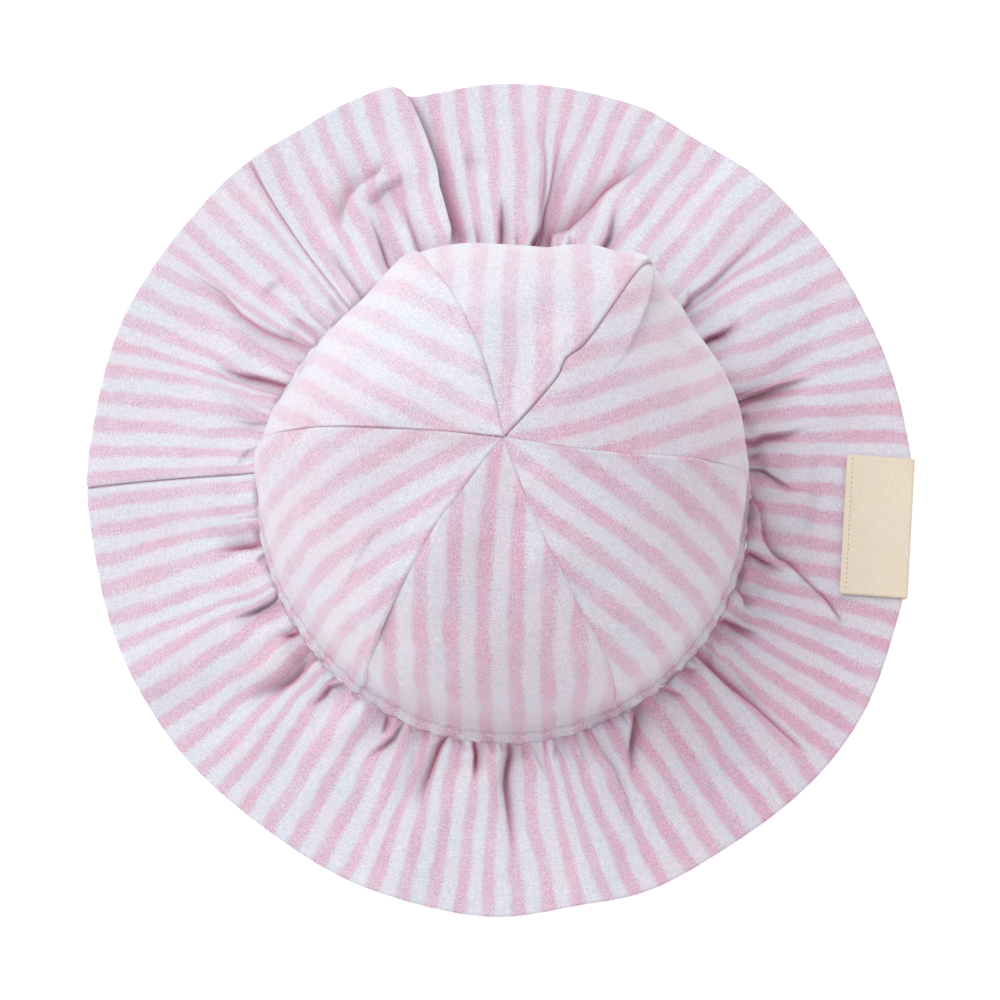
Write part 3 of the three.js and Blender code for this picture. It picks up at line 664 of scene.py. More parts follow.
def striped_cotton(name, white, pink, shadow, pitch, share):
    """Woven cotton with pink stripes, flecked by the white threads that cross them."""
    nodes = Nodes(name)
    cloth = nodes.cloth()
    apart = nodes.add("ShaderNodeSeparateXYZ", {"Vector": cloth})
    warp = nodes.fibres(cloth, 0.45 * MM, 3 * MM, 3.0)
    weft = nodes.fibres(cloth, 3 * MM, 0.45 * MM, 11.0)
    slub = nodes.fibres(cloth, 0.5 * MM, 0.6 * MM, 23.0)
    patch = nodes.fibres(cloth, 5 * MM, 16 * MM, 47.0)
    drift = nodes.fibres(cloth, 16 * MM, 22 * MM, 31.0)

    # Stripes, with dye that runs into the white
    count = nodes.math("DIVIDE", (apart, "X"), pitch)
    count = nodes.math("ADD", count, nodes.math("MULTIPLY_ADD", slub, 0.24, -0.12))
    from_middle = nodes.math("PINGPONG", count, 0.5)
    half = nodes.spread(patch, share / 2 - 0.05, share / 2 + 0.05)
    inside = nodes.math("SUBTRACT", half, from_middle)
    stripe = nodes.spread(inside, 0.0, 1.0, -0.11, 0.11, "SMOOTHSTEP")
    dyed = nodes.math("MULTIPLY", stripe, nodes.spread(slub, 1.05, 0.65))
    dyed = nodes.math("MULTIPLY", dyed, nodes.spread(patch, 0.75, 1.15))
    # Painted light: the stripes are painted paler where the light falls, and deeper pink where the stored value is
    # below 0
    dyed = nodes.math("MULTIPLY", dyed, nodes.math("SUBTRACT", 1.0, nodes.stored("faded")))
    plain = nodes.math("SUBTRACT", 1.0, stripe)
    flecks = nodes.math("MULTIPLY", plain, nodes.spread(slub, 0.0, 0.30, 0.45, 0.75))
    colour = nodes.mix(nodes.math("ADD", dyed, flecks), white, pink)

    # Threads and uneven tone
    thread = nodes.math("ADD", nodes.spread(warp, -0.5, 0.5), nodes.spread(weft, -0.5, 0.5))
    thread = nodes.math("ADD", thread, nodes.spread(slub, -1.0, 1.0))
    colour = nodes.mix(1.0, colour, nodes.spread(thread, 0.67, 1.27, -2.0, 2.0), "MULTIPLY")
    warm = nodes.mix(nodes.spread(drift, 0.0, 1.0, 0.35, 0.65), COOL_TINT, WARM_TINT)
    colour = nodes.mix(1.0, colour, warm, "MULTIPLY")
    # Painted shade: where the stored shade is high, the cloth is painted toward the shadow colour
    colour = nodes.mix(nodes.stored("shade"), colour, nodes.mix(1.0, colour, shadow, "MULTIPLY"))

    relief = nodes.math("ADD", warp, weft)
    relief = nodes.math("ADD", relief, nodes.math("MULTIPLY", slub, 0.6))
    return nodes.surface(colour, relief, strength=0.35, depth=0.12 * MM, roughness=0.95, sheen=0.5)


def ribbon_cotton(name, cream):
    """Plain woven cotton ribbon with ribs across its length."""
    nodes = Nodes(name)
    cloth = nodes.cloth()
    warp = nodes.fibres(cloth, 0.35 * MM, 3 * MM, 3.0)
    weft = nodes.fibres(cloth, 3 * MM, 0.35 * MM, 11.0)
    drift = nodes.fibres(cloth, 12 * MM, 12 * MM, 31.0)
    thread = nodes.math("ADD", nodes.spread(warp, -0.5, 0.5), nodes.spread(weft, -0.5, 0.5))
    colour = nodes.mix(1.0, cream, nodes.spread(thread, 0.90, 1.06, -1.0, 1.0), "MULTIPLY")
    colour = nodes.mix(1.0, colour, nodes.spread(drift, 0.97, 1.02), "MULTIPLY")
    relief = nodes.math("ADD", warp, weft)
    return nodes.surface(colour, relief, strength=0.4, depth=0.12 * MM, roughness=0.9, sheen=0.15)


def sewing_thread(name, dye):
    """Spun thread, its colour uneven along it."""
    nodes = Nodes(name)
    place = (nodes.add("ShaderNodeTexCoord"), "Object")
    ply = nodes.add("ShaderNodeTexNoise", {"Vector": place, "Scale": 1 / (0.6 * MM), "Detail": 2.0})
    colour = nodes.mix(1.0, dye, nodes.spread(ply, 0.85, 1.1), "MULTIPLY")
    return nodes.surface(colour, ply, strength=0.4, depth=0.05 * MM, roughness=0.8, sheen=0.2)


# Crown


def crown_profile(share):
    """Radius and rise of the crown's plain form, at a share of the quarter turn from its base to its apex."""
    angle = np.clip(share, 0, 1) * math.pi / 2
    power = 2 / CROWN_ROUNDNESS
    return HEAD_RADIUS * np.cos(angle) ** power, CROWN_RISE * np.sin(angle) ** power


def crown_spacing():
    """Shares of the quarter turn that lie evenly along the cloth, and the cloth's length from base to apex."""
    fine = np.linspace(0, 1, 2000)
    radius, rise = crown_profile(fine)
    length = np.concatenate([[0], np.cumsum(np.hypot(np.diff(radius), np.diff(rise)))])
    return fine, length / length[-1], length[-1]


QUARTER_SHARES, CLOTH_SHARES, CROWN_ARC = crown_spacing()


def crown_form(azimuth, up, depth):
    """Points of the crown's plain form at a depth under its face. up: share of the cloth from base to apex."""
    radius, rise = crown_profile(np.interp(up, CLOTH_SHARES, QUARTER_SHARES))
    along = (radius / HEAD_RADIUS) ** (CROWN_ROUNDNESS - 1) / HEAD_RADIUS
    upright = (rise / CROWN_RISE) ** (CROWN_ROUNDNESS - 1) / CROWN_RISE
    slope = np.hypot(along, upright)
    flare = around(CROWN_SIDES, "flare", azimuth) * MM
    flare *= (1 - np.exp(-rise / BASE_FLARE_HEIGHT)) * (radius / HEAD_RADIUS)
    points = to_world(
        azimuth, radius - flare - depth * along / slope, SEAM_HEIGHT + rise - depth * upright / slope
    )
    angle = np.radians(azimuth)
    swell = around(CROWN_SIDES, "out", azimuth) * MM * bell(rise / CROWN_RISE - SWELL_PLACE, SWELL_SPREAD)
    points[..., 0] += swell * np.cos(angle)
    points[..., 1] += swell * np.sin(angle) + CROWN_LEAN * (rise / CROWN_RISE) ** LEAN_CURVE
    return points


def seam_azimuth(seam, up):
    """Where a seam lies at a share of the way up."""
    turn = signed_turn(seam["base"], seam["crest"]) * smooth(up, SEAM_TURN_START, 1)
    hook = seam["hook"] * (1 - smooth(up, 0, SEAM_HOOK))
    return seam["base"] + turn + hook + seam["jog"] * bell(up - JOG_PLACE, JOG_SPREAD)


def roll(distance, radius):
    """How far a rolled edge of cloth drops, at a distance from the edge."""
    inside = np.clip(1 - distance / radius, 0, 1)
    return radius * (1 - np.sqrt(1 - inside ** 2))


def unrolled(azimuth, up):
    """Place of a point of the crown on a plane where distances from the apex are true."""
    away = (1 - up) * CROWN_ARC
    return away * math.cos(math.radians(azimuth)), away * math.sin(math.radians(azimuth))


def crown_panel(panel, material):
    """One gore of the crown, with its edges rolled into the seams.

    Gives the piece, its flat area, its width at the base, and the line and normals of its topstitching."""
    first, second = CROWN_SEAMS[panel], CROWN_SEAMS[(panel + 1) % len(CROWN_SEAMS)]
    base_steps = np.array(EDGE_STEPS) * MM / CROWN_ARC
    rows = np.concatenate([base_steps, np.linspace(base_steps[-1], 1, PANEL_ROWS)[1:] * APEX_PLACE])
    up = np.repeat(rows[:, None], 2 * len(EDGE_STEPS) + PANEL_COLUMNS - 2, axis=1)
    start = seam_azimuth(first, up)
    span = (seam_azimuth(second, up) - start) % TURN
    radius, rise = crown_profile(np.interp(up, CLOTH_SHARES, QUARTER_SHARES))
    width = np.radians(span) * radius

    steps = np.array(EDGE_STEPS) * MM
    narrow = np.minimum(1, width[:, :1] / (6 * steps[-1]))
    near = steps[None, :] * narrow + SEAM_HALF_GAP
    middle = lerp(near[:, -1:], width[:, :1] - near[:, -1:], np.linspace(0, 1, PANEL_COLUMNS)[None, 1:-1])
    distance = np.concatenate([near, middle, (width[:, :1] - near)[:, ::-1]], axis=1)
    across = distance / width
    azimuth = start + span * across
    to_seam = np.minimum(distance, width - distance)
    to_base = up * CROWN_ARC
    side = distance - width / 2

    # Stripes
    stripe = CROWN_STRIPES[panel]
    turn = np.radians(azimuth - stripe["direction"])
    beside, ahead = radius / HEAD_RADIUS * np.sin(turn), radius / HEAD_RADIUS * np.cos(turn)
    place = beside * HEAD_RADIUS / MM + stripe["bow"] * ahead ** 2 + stripe["fan"] * beside * ahead
    place += stripe["sweep"] * ahead ** 3 + stripe["side"] * beside ** 2 - stripe["shift"]
    count = place / stripe["pitch"] + STRIPE_WANDER * soft_noise(side, to_base, 12 * MM, 30 + panel)
    cloth = np.stack([count * STRIPE_PITCH, to_base], axis=-1)

    bulge = np.sin(np.pi * np.interp(up, CLOTH_SHARES, QUARTER_SHARES))
    lift = PANEL_FLATNESS * bulge * np.cos(2 * np.pi * across)
    away = (1 - up) * CROWN_ARC
    x, y = away * np.cos(np.radians(azimuth)), away * np.sin(np.radians(azimuth))
    folds, _, _, shade = fold_cloth(x, y, unrolled, CROWN_FOLDS, CROWN_FOLD_EDGE)
    lift += folds
    for row in CROWN_LUMPS:
        lumps = soft_noise(side, to_base, row["size"] * MM, row["seed"] + panel)
        lift += row["height"] * MM * lumps * smooth(to_base, 0, row["clear"] * MM)

    # Seam allowances
    for seam, reach in ((first, distance), (second, width - distance)):
        facing = 1 if seam is first else -1
        if seam["pressed"] == facing:
            lift += ALLOWANCE_LIFT * smooth(reach, *ALLOWANCE_START) * (1 - smooth(reach, *ALLOWANCE_END))
            lift += ALLOWANCE_RIDGE * bell(reach - RIDGE_AT, RIDGE_WIDTH)
    stray = 3 * soft_noise(side, to_base, 20 * MM, 60 + panel)
    pucker = np.sin(2 * np.pi * to_base / PUCKER_PITCH + stray)
    lift += PUCKER_HEIGHT * pucker * bell(to_seam, PUCKER_REACH) * smooth(to_seam, 0, PUCKER_CLEAR)

    # The band between the topstitching and the brim
    stitch = bell(to_base - STITCH_HEIGHT, STITCH_DIP_WIDTH)
    lift += BAND_LIFT * (1 - smooth(to_base, 0.6 * STITCH_HEIGHT, STITCH_HEIGHT)) - STITCH_DIP * stitch
    ripple = np.sin(np.radians(azimuth) * RIPPLE_COUNT + 4 * soft_noise(azimuth, 0 * azimuth, 9.0, 70))
    lift += RIPPLE_HEIGHT * ripple * bell(to_base - STITCH_HEIGHT / 2, STITCH_HEIGHT)

    deep = np.where(distance < width - distance, first["depth"], second["depth"])
    drop = deep * roll(to_seam, SEAM_ROLL) * smooth(width, 0, 3 * MM) + roll(to_base, BASE_ROLL)
    depth = drop - lift
    outer = crown_form(azimuth, up, depth)
    inner = crown_form(azimuth, up, depth + CROWN_CLOTH)
    # Painted shade along the seams and the topstitching, and painted shade that dims the crown at some azimuths
    seam_shade = bell(to_seam, SEAM_SHADE_WIDTH) * deep * SEAM_SHADE
    shade = np.maximum(shade, np.maximum(seam_shade, STITCH_SHADE * stitch))
    shade = np.maximum(shade, around(PAINTED_LIGHT_AND_SHADE, "crown_dull", azimuth))
    # Painted light: the crown's stripes are painted paler where the light falls, less so toward the apex
    faded = around(PAINTED_LIGHT_AND_SHADE, "crown", azimuth) * (1 - 0.3 * up)
    piece = sheet_piece(CROWN_PANELS[panel] + "_cloth", outer, inner, cloth, shade, faded, material)
    line = (outer[TOPSTITCH_ROW], grid_normals(outer)[TOPSTITCH_ROW])
    return piece, np.sum(width[:, 0]) / len(rows) * CROWN_ARC, width[0, 0], line


# Brim


def hem_radius(azimuth):
    """How far the hem lies from the crown's centre."""
    return HEAD_RADIUS + BRIM_WIDTH * around(HEM_OUTLINE, "width", azimuth)


def label_hold(azimuth, radius):
    """How flat the label holds the brim: 1 between its leaves and 0 away from it."""
    length = label_high[1] - label_low[1]
    depth = label_high[0] - label_low[0]
    aside = np.abs(signed_turn(LABEL_AZIMUTH, azimuth)) / np.degrees(length / 2 / label_high[0])
    inwards = (hem_radius(azimuth) - radius) / depth
    return (1 - smooth(aside, 1.0, LABEL_HOLD[0])) * (1 - smooth(inwards, 1.0, LABEL_HOLD[1]))


def brim_place(azimuth, out):
    """Place of a point of the brim seen from above, about the crown's centre."""
    reach = lerp(RIM_RADIUS, float(hem_radius(np.array(float(azimuth)))), out)
    return reach * math.cos(math.radians(azimuth)), reach * math.sin(math.radians(azimuth))


def brim_surface(azimuth, out):
    """Top of the brim. azimuth: where the cloth lies at the hem. out: share of the way from crown to hem.

    Gives the points, how much painted shade each gets in folds, ruffles and the lap, the distance from the crown and
    how far the lap turns it."""
    lean = around(BRIM_STRIPES, "lean", azimuth)
    place = azimuth + lean * (1 - out)
    hem = hem_radius(azimuth)
    radius = lerp(RIM_RADIUS, hem, out)
    distance = radius - RIM_RADIUS
    held = label_hold(place, radius)
    loose = 1 - held
    angle = np.radians(place)
    x, y = radius * np.cos(angle), radius * np.sin(angle)

    # The cloth comes out of the seam under the crown, puffs up and falls to the floor
    rise = 1 - np.exp(-distance / RIM_START)
    height = BRIM_CLOTH + RIM_RISE * (1 - out) ** RIM_FALL - RIM_TUCK * np.exp(-distance / RIM_TUCK_WIDTH)
    height += PUFF_HEIGHT * rise * np.exp(-distance / PUFF_LENGTH)
    folds, shift_x, shift_y, shade = fold_cloth(x, y, brim_place, BRIM_FOLDS)
    gain = around(BRIM_GATHERS, "gain", place)
    height += folds * gain * loose * rise
    ray = angle * HEAD_RADIUS
    for row in RUFFLES:
        wave = soft_noise(ray, distance * RUFFLE_STRETCH, row["size"], row["seed"])
        fade = np.exp(-distance / row["length"]) * loose
        crest = np.sqrt(wave ** 2 + RUFFLE_ROUNDING) - RUFFLE_MIDDLE
        height += RUFFLE_HEIGHT * crest * fade * rise * gain * row["size"] / RUFFLE_SIZE
        if row["size"] < FINE_RUFFLE:
            shade = np.maximum(shade, RUFFLE_SHADE * bell(wave, RUFFLE_SHADE_WIDTH) * fade)

    # Waves and small unevenness
    for row in HEM_WAVES:
        wave = np.sin(np.radians(row["count"] * place + row["phase"]))
        height += row["height"] * MM * wave * smooth(out, 0.1, 1) * loose
    lumps = soft_noise(ray, distance * LUMP_STRETCH, LUMP_SIZE, 80)
    height += LUMP_HEIGHT * lumps * loose * smooth(distance, 0, LUMP_CLEAR)
    height += DIMPLE_HEIGHT * soft_noise(x, y, DIMPLE_SIZE, 82) * loose

    # The lap: the cloth on its counter-clockwise side lies over the cloth on the other
    lap = lerp(LAP["rim"], LAP["hem"], out) + LAP["bow"] * 4 * out * (1 - out)
    offset = np.radians(signed_turn(lap, place)) * radius
    strength = smooth(distance, LAP_START, LAP_FULL)
    turned = offset / LAP_WIDTH
    slide = -LAP_OVERHANG * strength * LAP_SLIDE * turned * np.exp(-turned ** 2)
    step = smooth(turned, -LAP_STEP, LAP_STEP)
    over = step * np.where(offset > 0, bell(offset, LAP_FADE), 1)
    under = LAP_DIP * (1 - step) * bell(offset, LAP_DIP_WIDTH)
    height += LAP_HEIGHT * strength * (over - under)

    # The floor bears the cloth, and the label holds it flat
    above = lerp(BRIM_CLOTH, height, loose) - BRIM_CLOTH
    height = BRIM_CLOTH + np.logaddexp(0, above / FLOOR_EASE) * FLOOR_EASE
    height = lerp(height, LABEL_SEAT, held)
    corner = LAP_CORNER * bell(turned - LAP_CORNER_PLACE, LAP_CORNER_SPREAD) * smooth(out, 0.9, 1)
    slide = np.degrees(slide / radius)
    points = to_world(place + slide, radius - corner, height)
    points[..., 0] += shift_x * loose
    points[..., 1] += shift_y * loose
    # Painted shadow on the lower cloth beside and under the lap, lighter toward the hem
    lap_painted_shadow = strength * smooth(turned, -1.9, -0.9) * (1 - smooth(turned, 0.1, 0.7))
    lap_painted_shadow *= 1 - LAP_SHADE_FADE * out
    return points, np.maximum(lap_painted_shadow, shade * (1 - held ** 3)), distance, slide


def brim_piece(name, start, end, stripes, material):
    """One length of the brim, counter-clockwise from one brim seam to the other. Gives it and its cloth's length."""
    span = (end["hem"] - start["hem"]) % TURN
    columns = int(span / BRIM_COLUMN_TURN)
    beyond = np.linspace(1, 0, BRIM_ROWS - 2)[1:] ** BRIM_ROW_CURVE
    rows = np.concatenate([HEM_STEPS, 1 - (1 - HEM_STEPS[-1]) * beyond])
    out = np.repeat(1 - rows[:, None], columns + 1, axis=1)
    azimuth = np.repeat(start["hem"] + span * np.linspace(0, 1, columns + 1)[None, :], len(rows), axis=0)

    # The ends follow the brim seams, which lean otherwise than the stripes do
    lean = around(BRIM_STRIPES, "lean", azimuth) * (1 - out)
    share = (azimuth - start["hem"]) / span
    first = (start["rim"] - start["hem"]) * (1 - out) - lean[:, :1]
    last = (end["rim"] - end["hem"]) * (1 - out) - lean[:, -1:]
    blend = BRIM_SEAM_BLEND / span
    ends = first * (1 - smooth(share, 0, blend)) + last * smooth(share, 1 - blend, 1)
    gap = np.degrees(BRIM_SEAM_GAP / HEAD_RADIUS) * (1 - 2 * share)
    points, shade, distance, slide = brim_surface(azimuth + ends + gap, out)
    length = np.radians(span) * CUT_RADIUS
    arc = np.minimum(share, 1 - share) * length
    points[..., 2] -= roll(arc, BRIM_SEAM_ROLL)
    points[..., 2] = np.maximum(points[..., 2], LEAST_HEIGHT)
    # Painted shade along the brim seams, and painted shade that dims the brim at some azimuths
    shade = np.maximum(shade, bell(arc, BRIM_SEAM_WIDTH) * BRIM_SEAM_SHADE)
    shade = np.maximum(shade, around(PAINTED_LIGHT_AND_SHADE, "brim_dull", azimuth))
    normals = grid_normals(points)
    normals = soften(soften(normals, 6, 1), 2, 0)
    normals /= np.linalg.norm(normals, axis=2, keepdims=True)
    inner = points - normals * BRIM_CLOTH
    inner[..., 2] = np.clip(inner[..., 2], 0, None)
    count = stripes(azimuth + slide) - around(BRIM_STRIPES, "drift", azimuth)
    along = np.radians(azimuth) * HEAD_RADIUS
    count += STRIPE_WANDER * soft_noise(along, distance, 9 * MM, 83) * (1 + np.exp(-distance / (15 * MM)))
    cloth = np.stack([count * STRIPE_PITCH, distance], axis=-1)
    # Painted light: the brim's stripes are painted paler where the light falls, deeper pink where the value is below 0
    piece = sheet_piece(name, points, inner, cloth, shade, around(PAINTED_LIGHT_AND_SHADE, "brim", azimuth), material)
    return piece, length


def long_stripes(azimuth):
    """Number of the stripe at an azimuth of the long piece."""
    beyond = (azimuth - LONG_STRIPE_AT) % TURN
    return np.where(beyond < 60, beyond / NORTH_STRIPE_TURN, (beyond - TURN) / LONG_STRIPE_TURN)


def short_stripes(azimuth):
    """Number of the stripe at an azimuth of the short piece."""
    return (azimuth - SHORT_STRIPE_AT) / SHORT_STRIPE_TURN


# Stitches and label


def stitch_copies(name, frames, size, material):
    """A row of stitches, each dipping into the cloth at both ends. frames: places and turns of the stitches."""
    bpy.ops.object.select_all(action="DESELECT")
    bpy.ops.mesh.primitive_uv_sphere_add(segments=10, ring_count=8, radius=0.5)
    stitch = bpy.context.object
    bpy.ops.object.mode_set(mode="EDIT")
    bpy.ops.mesh.select_all(action="SELECT")
    bpy.ops.transform.resize(value=size)
    bpy.ops.object.mode_set(mode="OBJECT")
    for vertex in stitch.data.vertices:
        vertex.select = abs(vertex.co.x) > STITCH_END * size[0]
    bpy.ops.object.mode_set(mode="EDIT")
    bpy.ops.transform.translate(value=(0, 0, -STITCH_DROP * size[2]))
    bpy.ops.object.mode_set(mode="OBJECT")
    stitch.data.materials.append(material)
    bpy.ops.object.shade_smooth()
    copies = []
    for frame in frames:
        copy = stitch.copy()
        copy.data = stitch.data.copy()
        copy.matrix_world = Matrix(frame.tolist())
        bpy.context.collection.objects.link(copy)
        copies.append(copy)
    bpy.data.objects.remove(stitch)
    bpy.ops.object.select_all(action="DESELECT")
    for copy in copies:
        copy.select_set(True)
    bpy.context.view_layer.objects.active = copies[0]
    bpy.ops.object.join()
    bpy.ops.object.transform_apply(location=True, rotation=True, scale=True)
    row = bpy.context.object
    row.name = name
    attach(row, "root")
    return row


def stitch_frames(line, normals, step, skew):
    """Frames for stitches at even steps along a line on the cloth. skew: how far each turns from the line."""
    path = np.concatenate([[0], np.cumsum(np.linalg.norm(np.diff(line, axis=0), axis=1))])
    places = np.arange(step / 2, path[-1], step)
    frames = []
    for number, place in enumerate(places):
        here, ahead = (
            np.array([np.interp(place + shift, path, line[:, axis]) for axis in range(3)])
            for shift in (-STITCH_REACH, STITCH_REACH)
        )
        up = np.array([np.interp(place, path, normals[:, axis]) for axis in range(3)])
        up /= np.linalg.norm(up)
        along = (ahead - here) / np.linalg.norm(ahead - here)
        along += skew * math.sin(STITCH_TURN * number) * np.cross(up, along)
        along -= up * np.dot(along, up)
        along /= np.linalg.norm(along)
        frame = np.eye(4)
        frame[:3] = np.stack([along, np.cross(up, along), up, (here + ahead) / 2], axis=1)
        frames.append(frame)
    return frames


def label_piece(material):
    """A ribbon folded over the hem, its two leaves held by one row of stitches.

    Gives the piece, its flat length and depth, and the line of the stitches."""
    top = label_high[2]
    angle = math.radians(LABEL_AZIMUTH)
    length = LABEL_LENGTH
    corner = np.array([label_high[0], label_high[1]]) - CENTRE[:2]
    reach = corner[0] * math.cos(angle) + corner[1] * math.sin(angle)
    straight = np.linspace(0, LABEL_DEPTH - LABEL_BEND, LABEL_ROWS)
    turn = np.linspace(-math.pi / 2, math.pi / 2, LABEL_BEND_ROWS)[1:-1]
    inner_edge = reach - LABEL_DEPTH
    bend = reach - LABEL_BEND + LABEL_BEND * np.cos(turn)
    over = np.concatenate([inner_edge + straight, bend, inner_edge + straight[::-1]])
    high = np.concatenate([0 * straight, top / 2 + top / 2 * np.sin(turn), top + 0 * straight])
    path = np.concatenate([[0], np.cumsum(np.hypot(np.diff(over), np.diff(high)))])
    along = np.linspace(-length / 2, length / 2, LABEL_COLUMNS)
    run = np.stack([np.gradient(over), np.gradient(high)], axis=-1)
    run /= np.linalg.norm(run, axis=1, keepdims=True)
    outer_over = np.repeat(over[:, None], len(along), axis=1)
    outer_high = np.repeat(high[:, None], len(along), axis=1)
    place = np.repeat(along[None, :], len(over), axis=0)

    def world(radial, height, place):
        x = CENTRE[0] + radial * math.cos(angle) - place * math.sin(angle)
        y = CENTRE[1] + radial * math.sin(angle) + place * math.cos(angle)
        return np.stack([x, y, height], axis=-1)

    outer = world(outer_over, outer_high, place)
    inner = world(outer_over - run[:, 1:] * LABEL_CLOTH, outer_high + run[:, :1] * LABEL_CLOTH, place)
    cloth = np.stack([place, np.repeat(path[:, None], len(along), axis=1)], axis=-1)
    none = 0 * place
    piece = sheet_piece("label_ribbon", outer[:, ::-1], inner[:, ::-1], cloth[:, ::-1], none, none, material)
    ends = np.array([-LABEL_STITCHED, LABEL_STITCHED]) * length
    stitch_line = world(np.full(2, inner_edge + LABEL_STITCH_INSET), np.full(2, top), ends)
    return piece, length, path[-1], stitch_line


def hat_ready(piece, node):
    """Tell the frame what a piece rides on, and hide the node it stands for."""
    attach(piece, "root")
    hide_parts(node)


class HatColours(bpy.types.PropertyGroup):
    """Colours of the cloth."""

    white: FloatVectorProperty(
        name="White", description="Ground of the striped cloth", subtype="COLOR", size=4, min=0, max=1,
        default=(0.745, 0.775, 0.83, 1),
    )
    pink: FloatVectorProperty(
        name="Pink", description="Stripes of the cloth", subtype="COLOR", size=4, min=0, max=1,
        default=(0.725, 0.465, 0.59, 1),
    )
    # Colour of the painted shade in folds, seams and the lap
    shadow: FloatVectorProperty(
        name="Fold shadow", description="Cloth seen deep in a fold", subtype="COLOR", size=4, min=0, max=1,
        default=(0.60, 0.27, 0.35, 1),
    )
    cream: FloatVectorProperty(
        name="Label", description="Ribbon of the label", subtype="COLOR", size=4, min=0, max=1,
        default=(0.80, 0.70, 0.56, 1),
    )
    crown_thread: FloatVectorProperty(
        name="Crown thread", description="Topstitching of the crown", subtype="COLOR", size=4, min=0, max=1,
        default=(0.80, 0.67, 0.75, 1),
    )
    label_thread: FloatVectorProperty(
        name="Label thread", description="Stitches of the label", subtype="COLOR", size=4, min=0, max=1,
        default=(0.50, 0.36, 0.18, 1),
    )


class HatSizes(bpy.types.PropertyGroup):
    """Sizes of the cloth."""

    stripe_pitch: FloatProperty(
        name="Stripe pitch", description="From one pink stripe to the next", unit="LENGTH", default=STRIPE_PITCH,
    )
    stripe_share: FloatProperty(
        name="Pink share", description="Share of the pitch that is pink", subtype="FACTOR", min=0, max=1, default=0.47,
    )


class HAT_OT_crown(bpy.types.Operator):
    """Sews the six panels of the crown"""

    bl_idname = "hat.crown"
    bl_label = "Crown"

    def execute(self, context):
        thread = sewing_thread("crown_thread", context.scene.hat_colours.crown_thread)
        for panel, node in enumerate(CROWN_PANELS):
            piece, area, width, line = crown_panel(panel, striped(context))
            hat_ready(piece, node)
            frames = stitch_frames(*line, CROWN_STITCH["step"], CROWN_STITCH["skew"])
            stitches = stitch_copies(node + "_stitches", frames, CROWN_STITCH["size"], thread)
        return {"FINISHED"}


class HAT_OT_brim(bpy.types.Operator):
    """Gathers the two lengths of the brim"""

    bl_idname = "hat.brim"
    bl_label = "Brim"

    def execute(self, context):
        material = striped(context)
        piece, length = brim_piece("brim_long_cloth", SEAM_WEST, SEAM_NORTH, long_stripes, material)
        hat_ready(piece, "brim_long")
        piece, length = brim_piece("brim_short_cloth", SEAM_NORTH, SEAM_WEST, short_stripes, material)
        hat_ready(piece, "brim_short")
        return {"FINISHED"}


class HAT_OT_label(bpy.types.Operator):
    """Folds the label over the hem"""

    bl_idname = "hat.label"
    bl_label = "Label"

    def execute(self, context):
        material = ribbon_cotton("ribbon", context.scene.hat_colours.cream)
        piece, length, depth, line = label_piece(material)
        hat_ready(piece, "label")
        upright = np.array([[0, 0, 1.0]] * 2)
        frames = stitch_frames(line, upright, LABEL_STITCH["step"], LABEL_STITCH["skew"])
        thread = sewing_thread("label_thread", context.scene.hat_colours.label_thread)
        stitches = stitch_copies("label_stitches", frames, LABEL_STITCH["size"], thread)
        return {"FINISHED"}


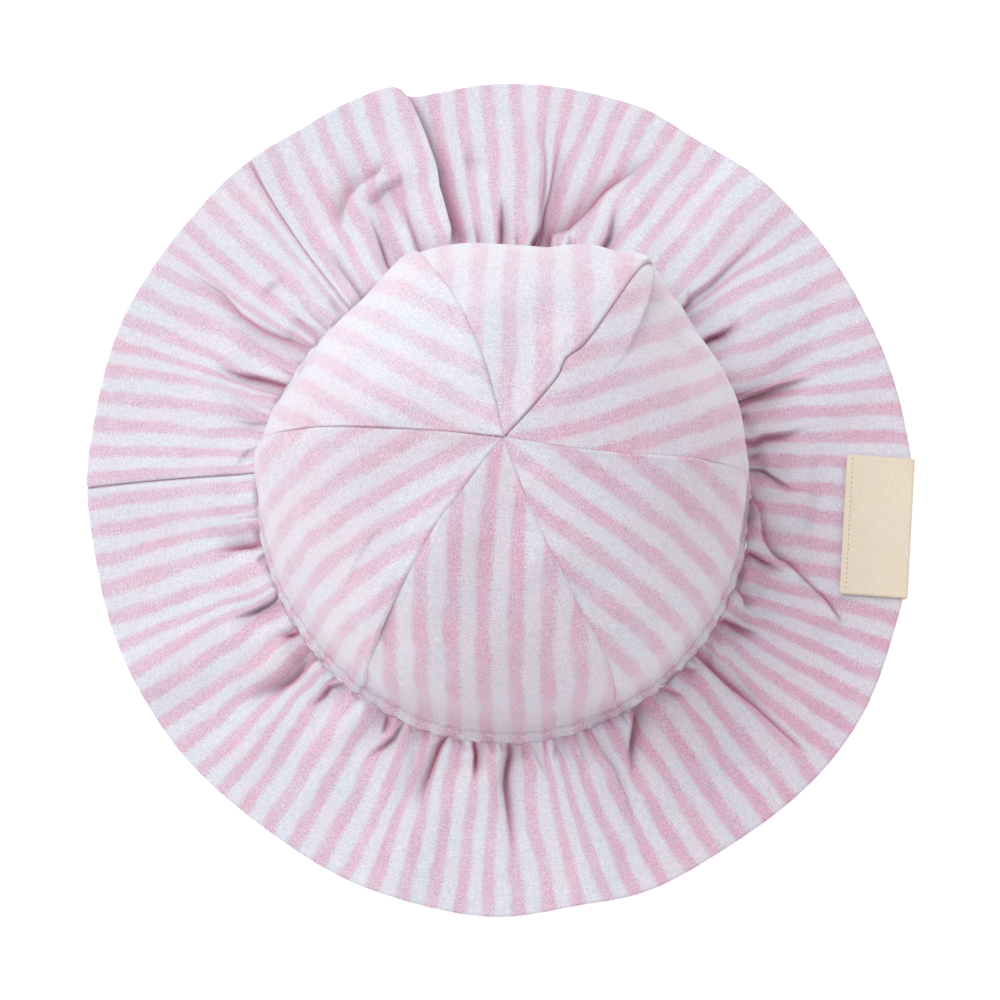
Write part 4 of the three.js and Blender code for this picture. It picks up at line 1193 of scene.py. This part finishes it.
class HAT_OT_stage(bpy.types.Operator):
    """Lays out the floor, the light and the camera"""

    bl_idname = "hat.stage"
    bl_label = "Stage"

    def execute(self, context):
        bpy.ops.mesh.primitive_plane_add(size=FLOOR_SIZE, location=(0, 0, FLOOR_HEIGHT))
        floor = context.object
        floor.name = "floor"
        nodes = Nodes("floor_paper")
        inputs = {"Base Color": FLOOR_COLOUR, "Roughness": 0.9}
        inputs.update({"Emission Color": (1, 1, 1, 1), "Emission Strength": FLOOR_GLOW})
        shader = nodes.add("ShaderNodeBsdfPrincipled", inputs)
        nodes.add("ShaderNodeOutputMaterial", {"Surface": shader})
        floor.data.materials.append(nodes.material)

        world = bpy.data.worlds.new("studio")
        world.use_nodes = True
        sky = world.node_tree.nodes["Background"]
        sky.inputs["Color"].default_value = SKY_COLOUR
        sky.inputs["Strength"].default_value = SKY_STRENGTH
        context.scene.world = world
        add_area_light("window", WINDOW_PLACE, WINDOW_SIZE, WINDOW_POWER, WINDOW_COLOUR)

        target = np.array([CENTRE[0] + CAMERA_AIM[0], CENTRE[1] + CAMERA_AIM[1], 0])
        tilt = math.radians(CAMERA_ELEVATION)
        camera_data = bpy.data.cameras.new("camera")
        camera_data.lens = CAMERA_LENS
        camera_data.sensor_width = CAMERA_SENSOR
        camera = bpy.data.objects.new("camera", camera_data)
        camera.location = target + CAMERA_DISTANCE * np.array([0, -math.cos(tilt), math.sin(tilt)])
        camera.rotation_euler = (math.pi / 2 - tilt, 0, 0)
        context.collection.objects.link(camera)
        context.scene.camera = camera
        context.scene.view_settings.view_transform = "Standard"
        return {"FINISHED"}


def add_area_light(name, place, size, power, colour):
    """A square light that shines on the middle of the floor."""
    data = bpy.data.lights.new(name, "AREA")
    data.size = size
    data.energy = power
    data.color = colour
    light = bpy.data.objects.new(name, data)
    light.location = place
    direction = -np.array(place)
    light.rotation_euler = (
        math.atan2(math.hypot(direction[0], direction[1]), -direction[2]),
        0,
        math.atan2(-direction[0], direction[1]),
    )
    bpy.context.collection.objects.link(light)


def striped(context):
    """The striped cloth, made once."""
    found = bpy.data.materials.get("striped_cotton")
    colours, sizes = context.scene.hat_colours, context.scene.hat_sizes
    return found or striped_cotton(
        "striped_cotton", colours.white, colours.pink, colours.shadow, sizes.stripe_pitch, sizes.stripe_share
    )


class HAT_PT_panel(bpy.types.Panel):
    """Sidebar panel of the hat"""

    bl_label = "Sun hat"
    bl_idname = "HAT_PT_panel"
    bl_space_type = "VIEW_3D"
    bl_region_type = "UI"
    bl_category = "Sun hat"

    def draw(self, context):
        for name in ("white", "pink", "shadow", "cream", "crown_thread", "label_thread"):
            self.layout.prop(context.scene.hat_colours, name)
        for name in ("stripe_pitch", "stripe_share"):
            self.layout.prop(context.scene.hat_sizes, name)
        for operator in OPERATORS:
            self.layout.operator(operator.bl_idname)


OPERATORS = (HAT_OT_crown, HAT_OT_brim, HAT_OT_label, HAT_OT_stage)
CLASSES = (HatColours, HatSizes, *OPERATORS, HAT_PT_panel)


def register():
    for item in CLASSES:
        bpy.utils.register_class(item)
    bpy.types.Scene.hat_colours = PointerProperty(type=HatColours)
    bpy.types.Scene.hat_sizes = PointerProperty(type=HatSizes)


def unregister():
    del bpy.types.Scene.hat_sizes
    del bpy.types.Scene.hat_colours
    for item in reversed(CLASSES):
        bpy.utils.unregister_class(item)


def main():
    register()
    bpy.ops.hat.crown()
    bpy.ops.hat.brim()
    bpy.ops.hat.label()
    bpy.ops.hat.stage()


if __name__ == "__main__":
    main()
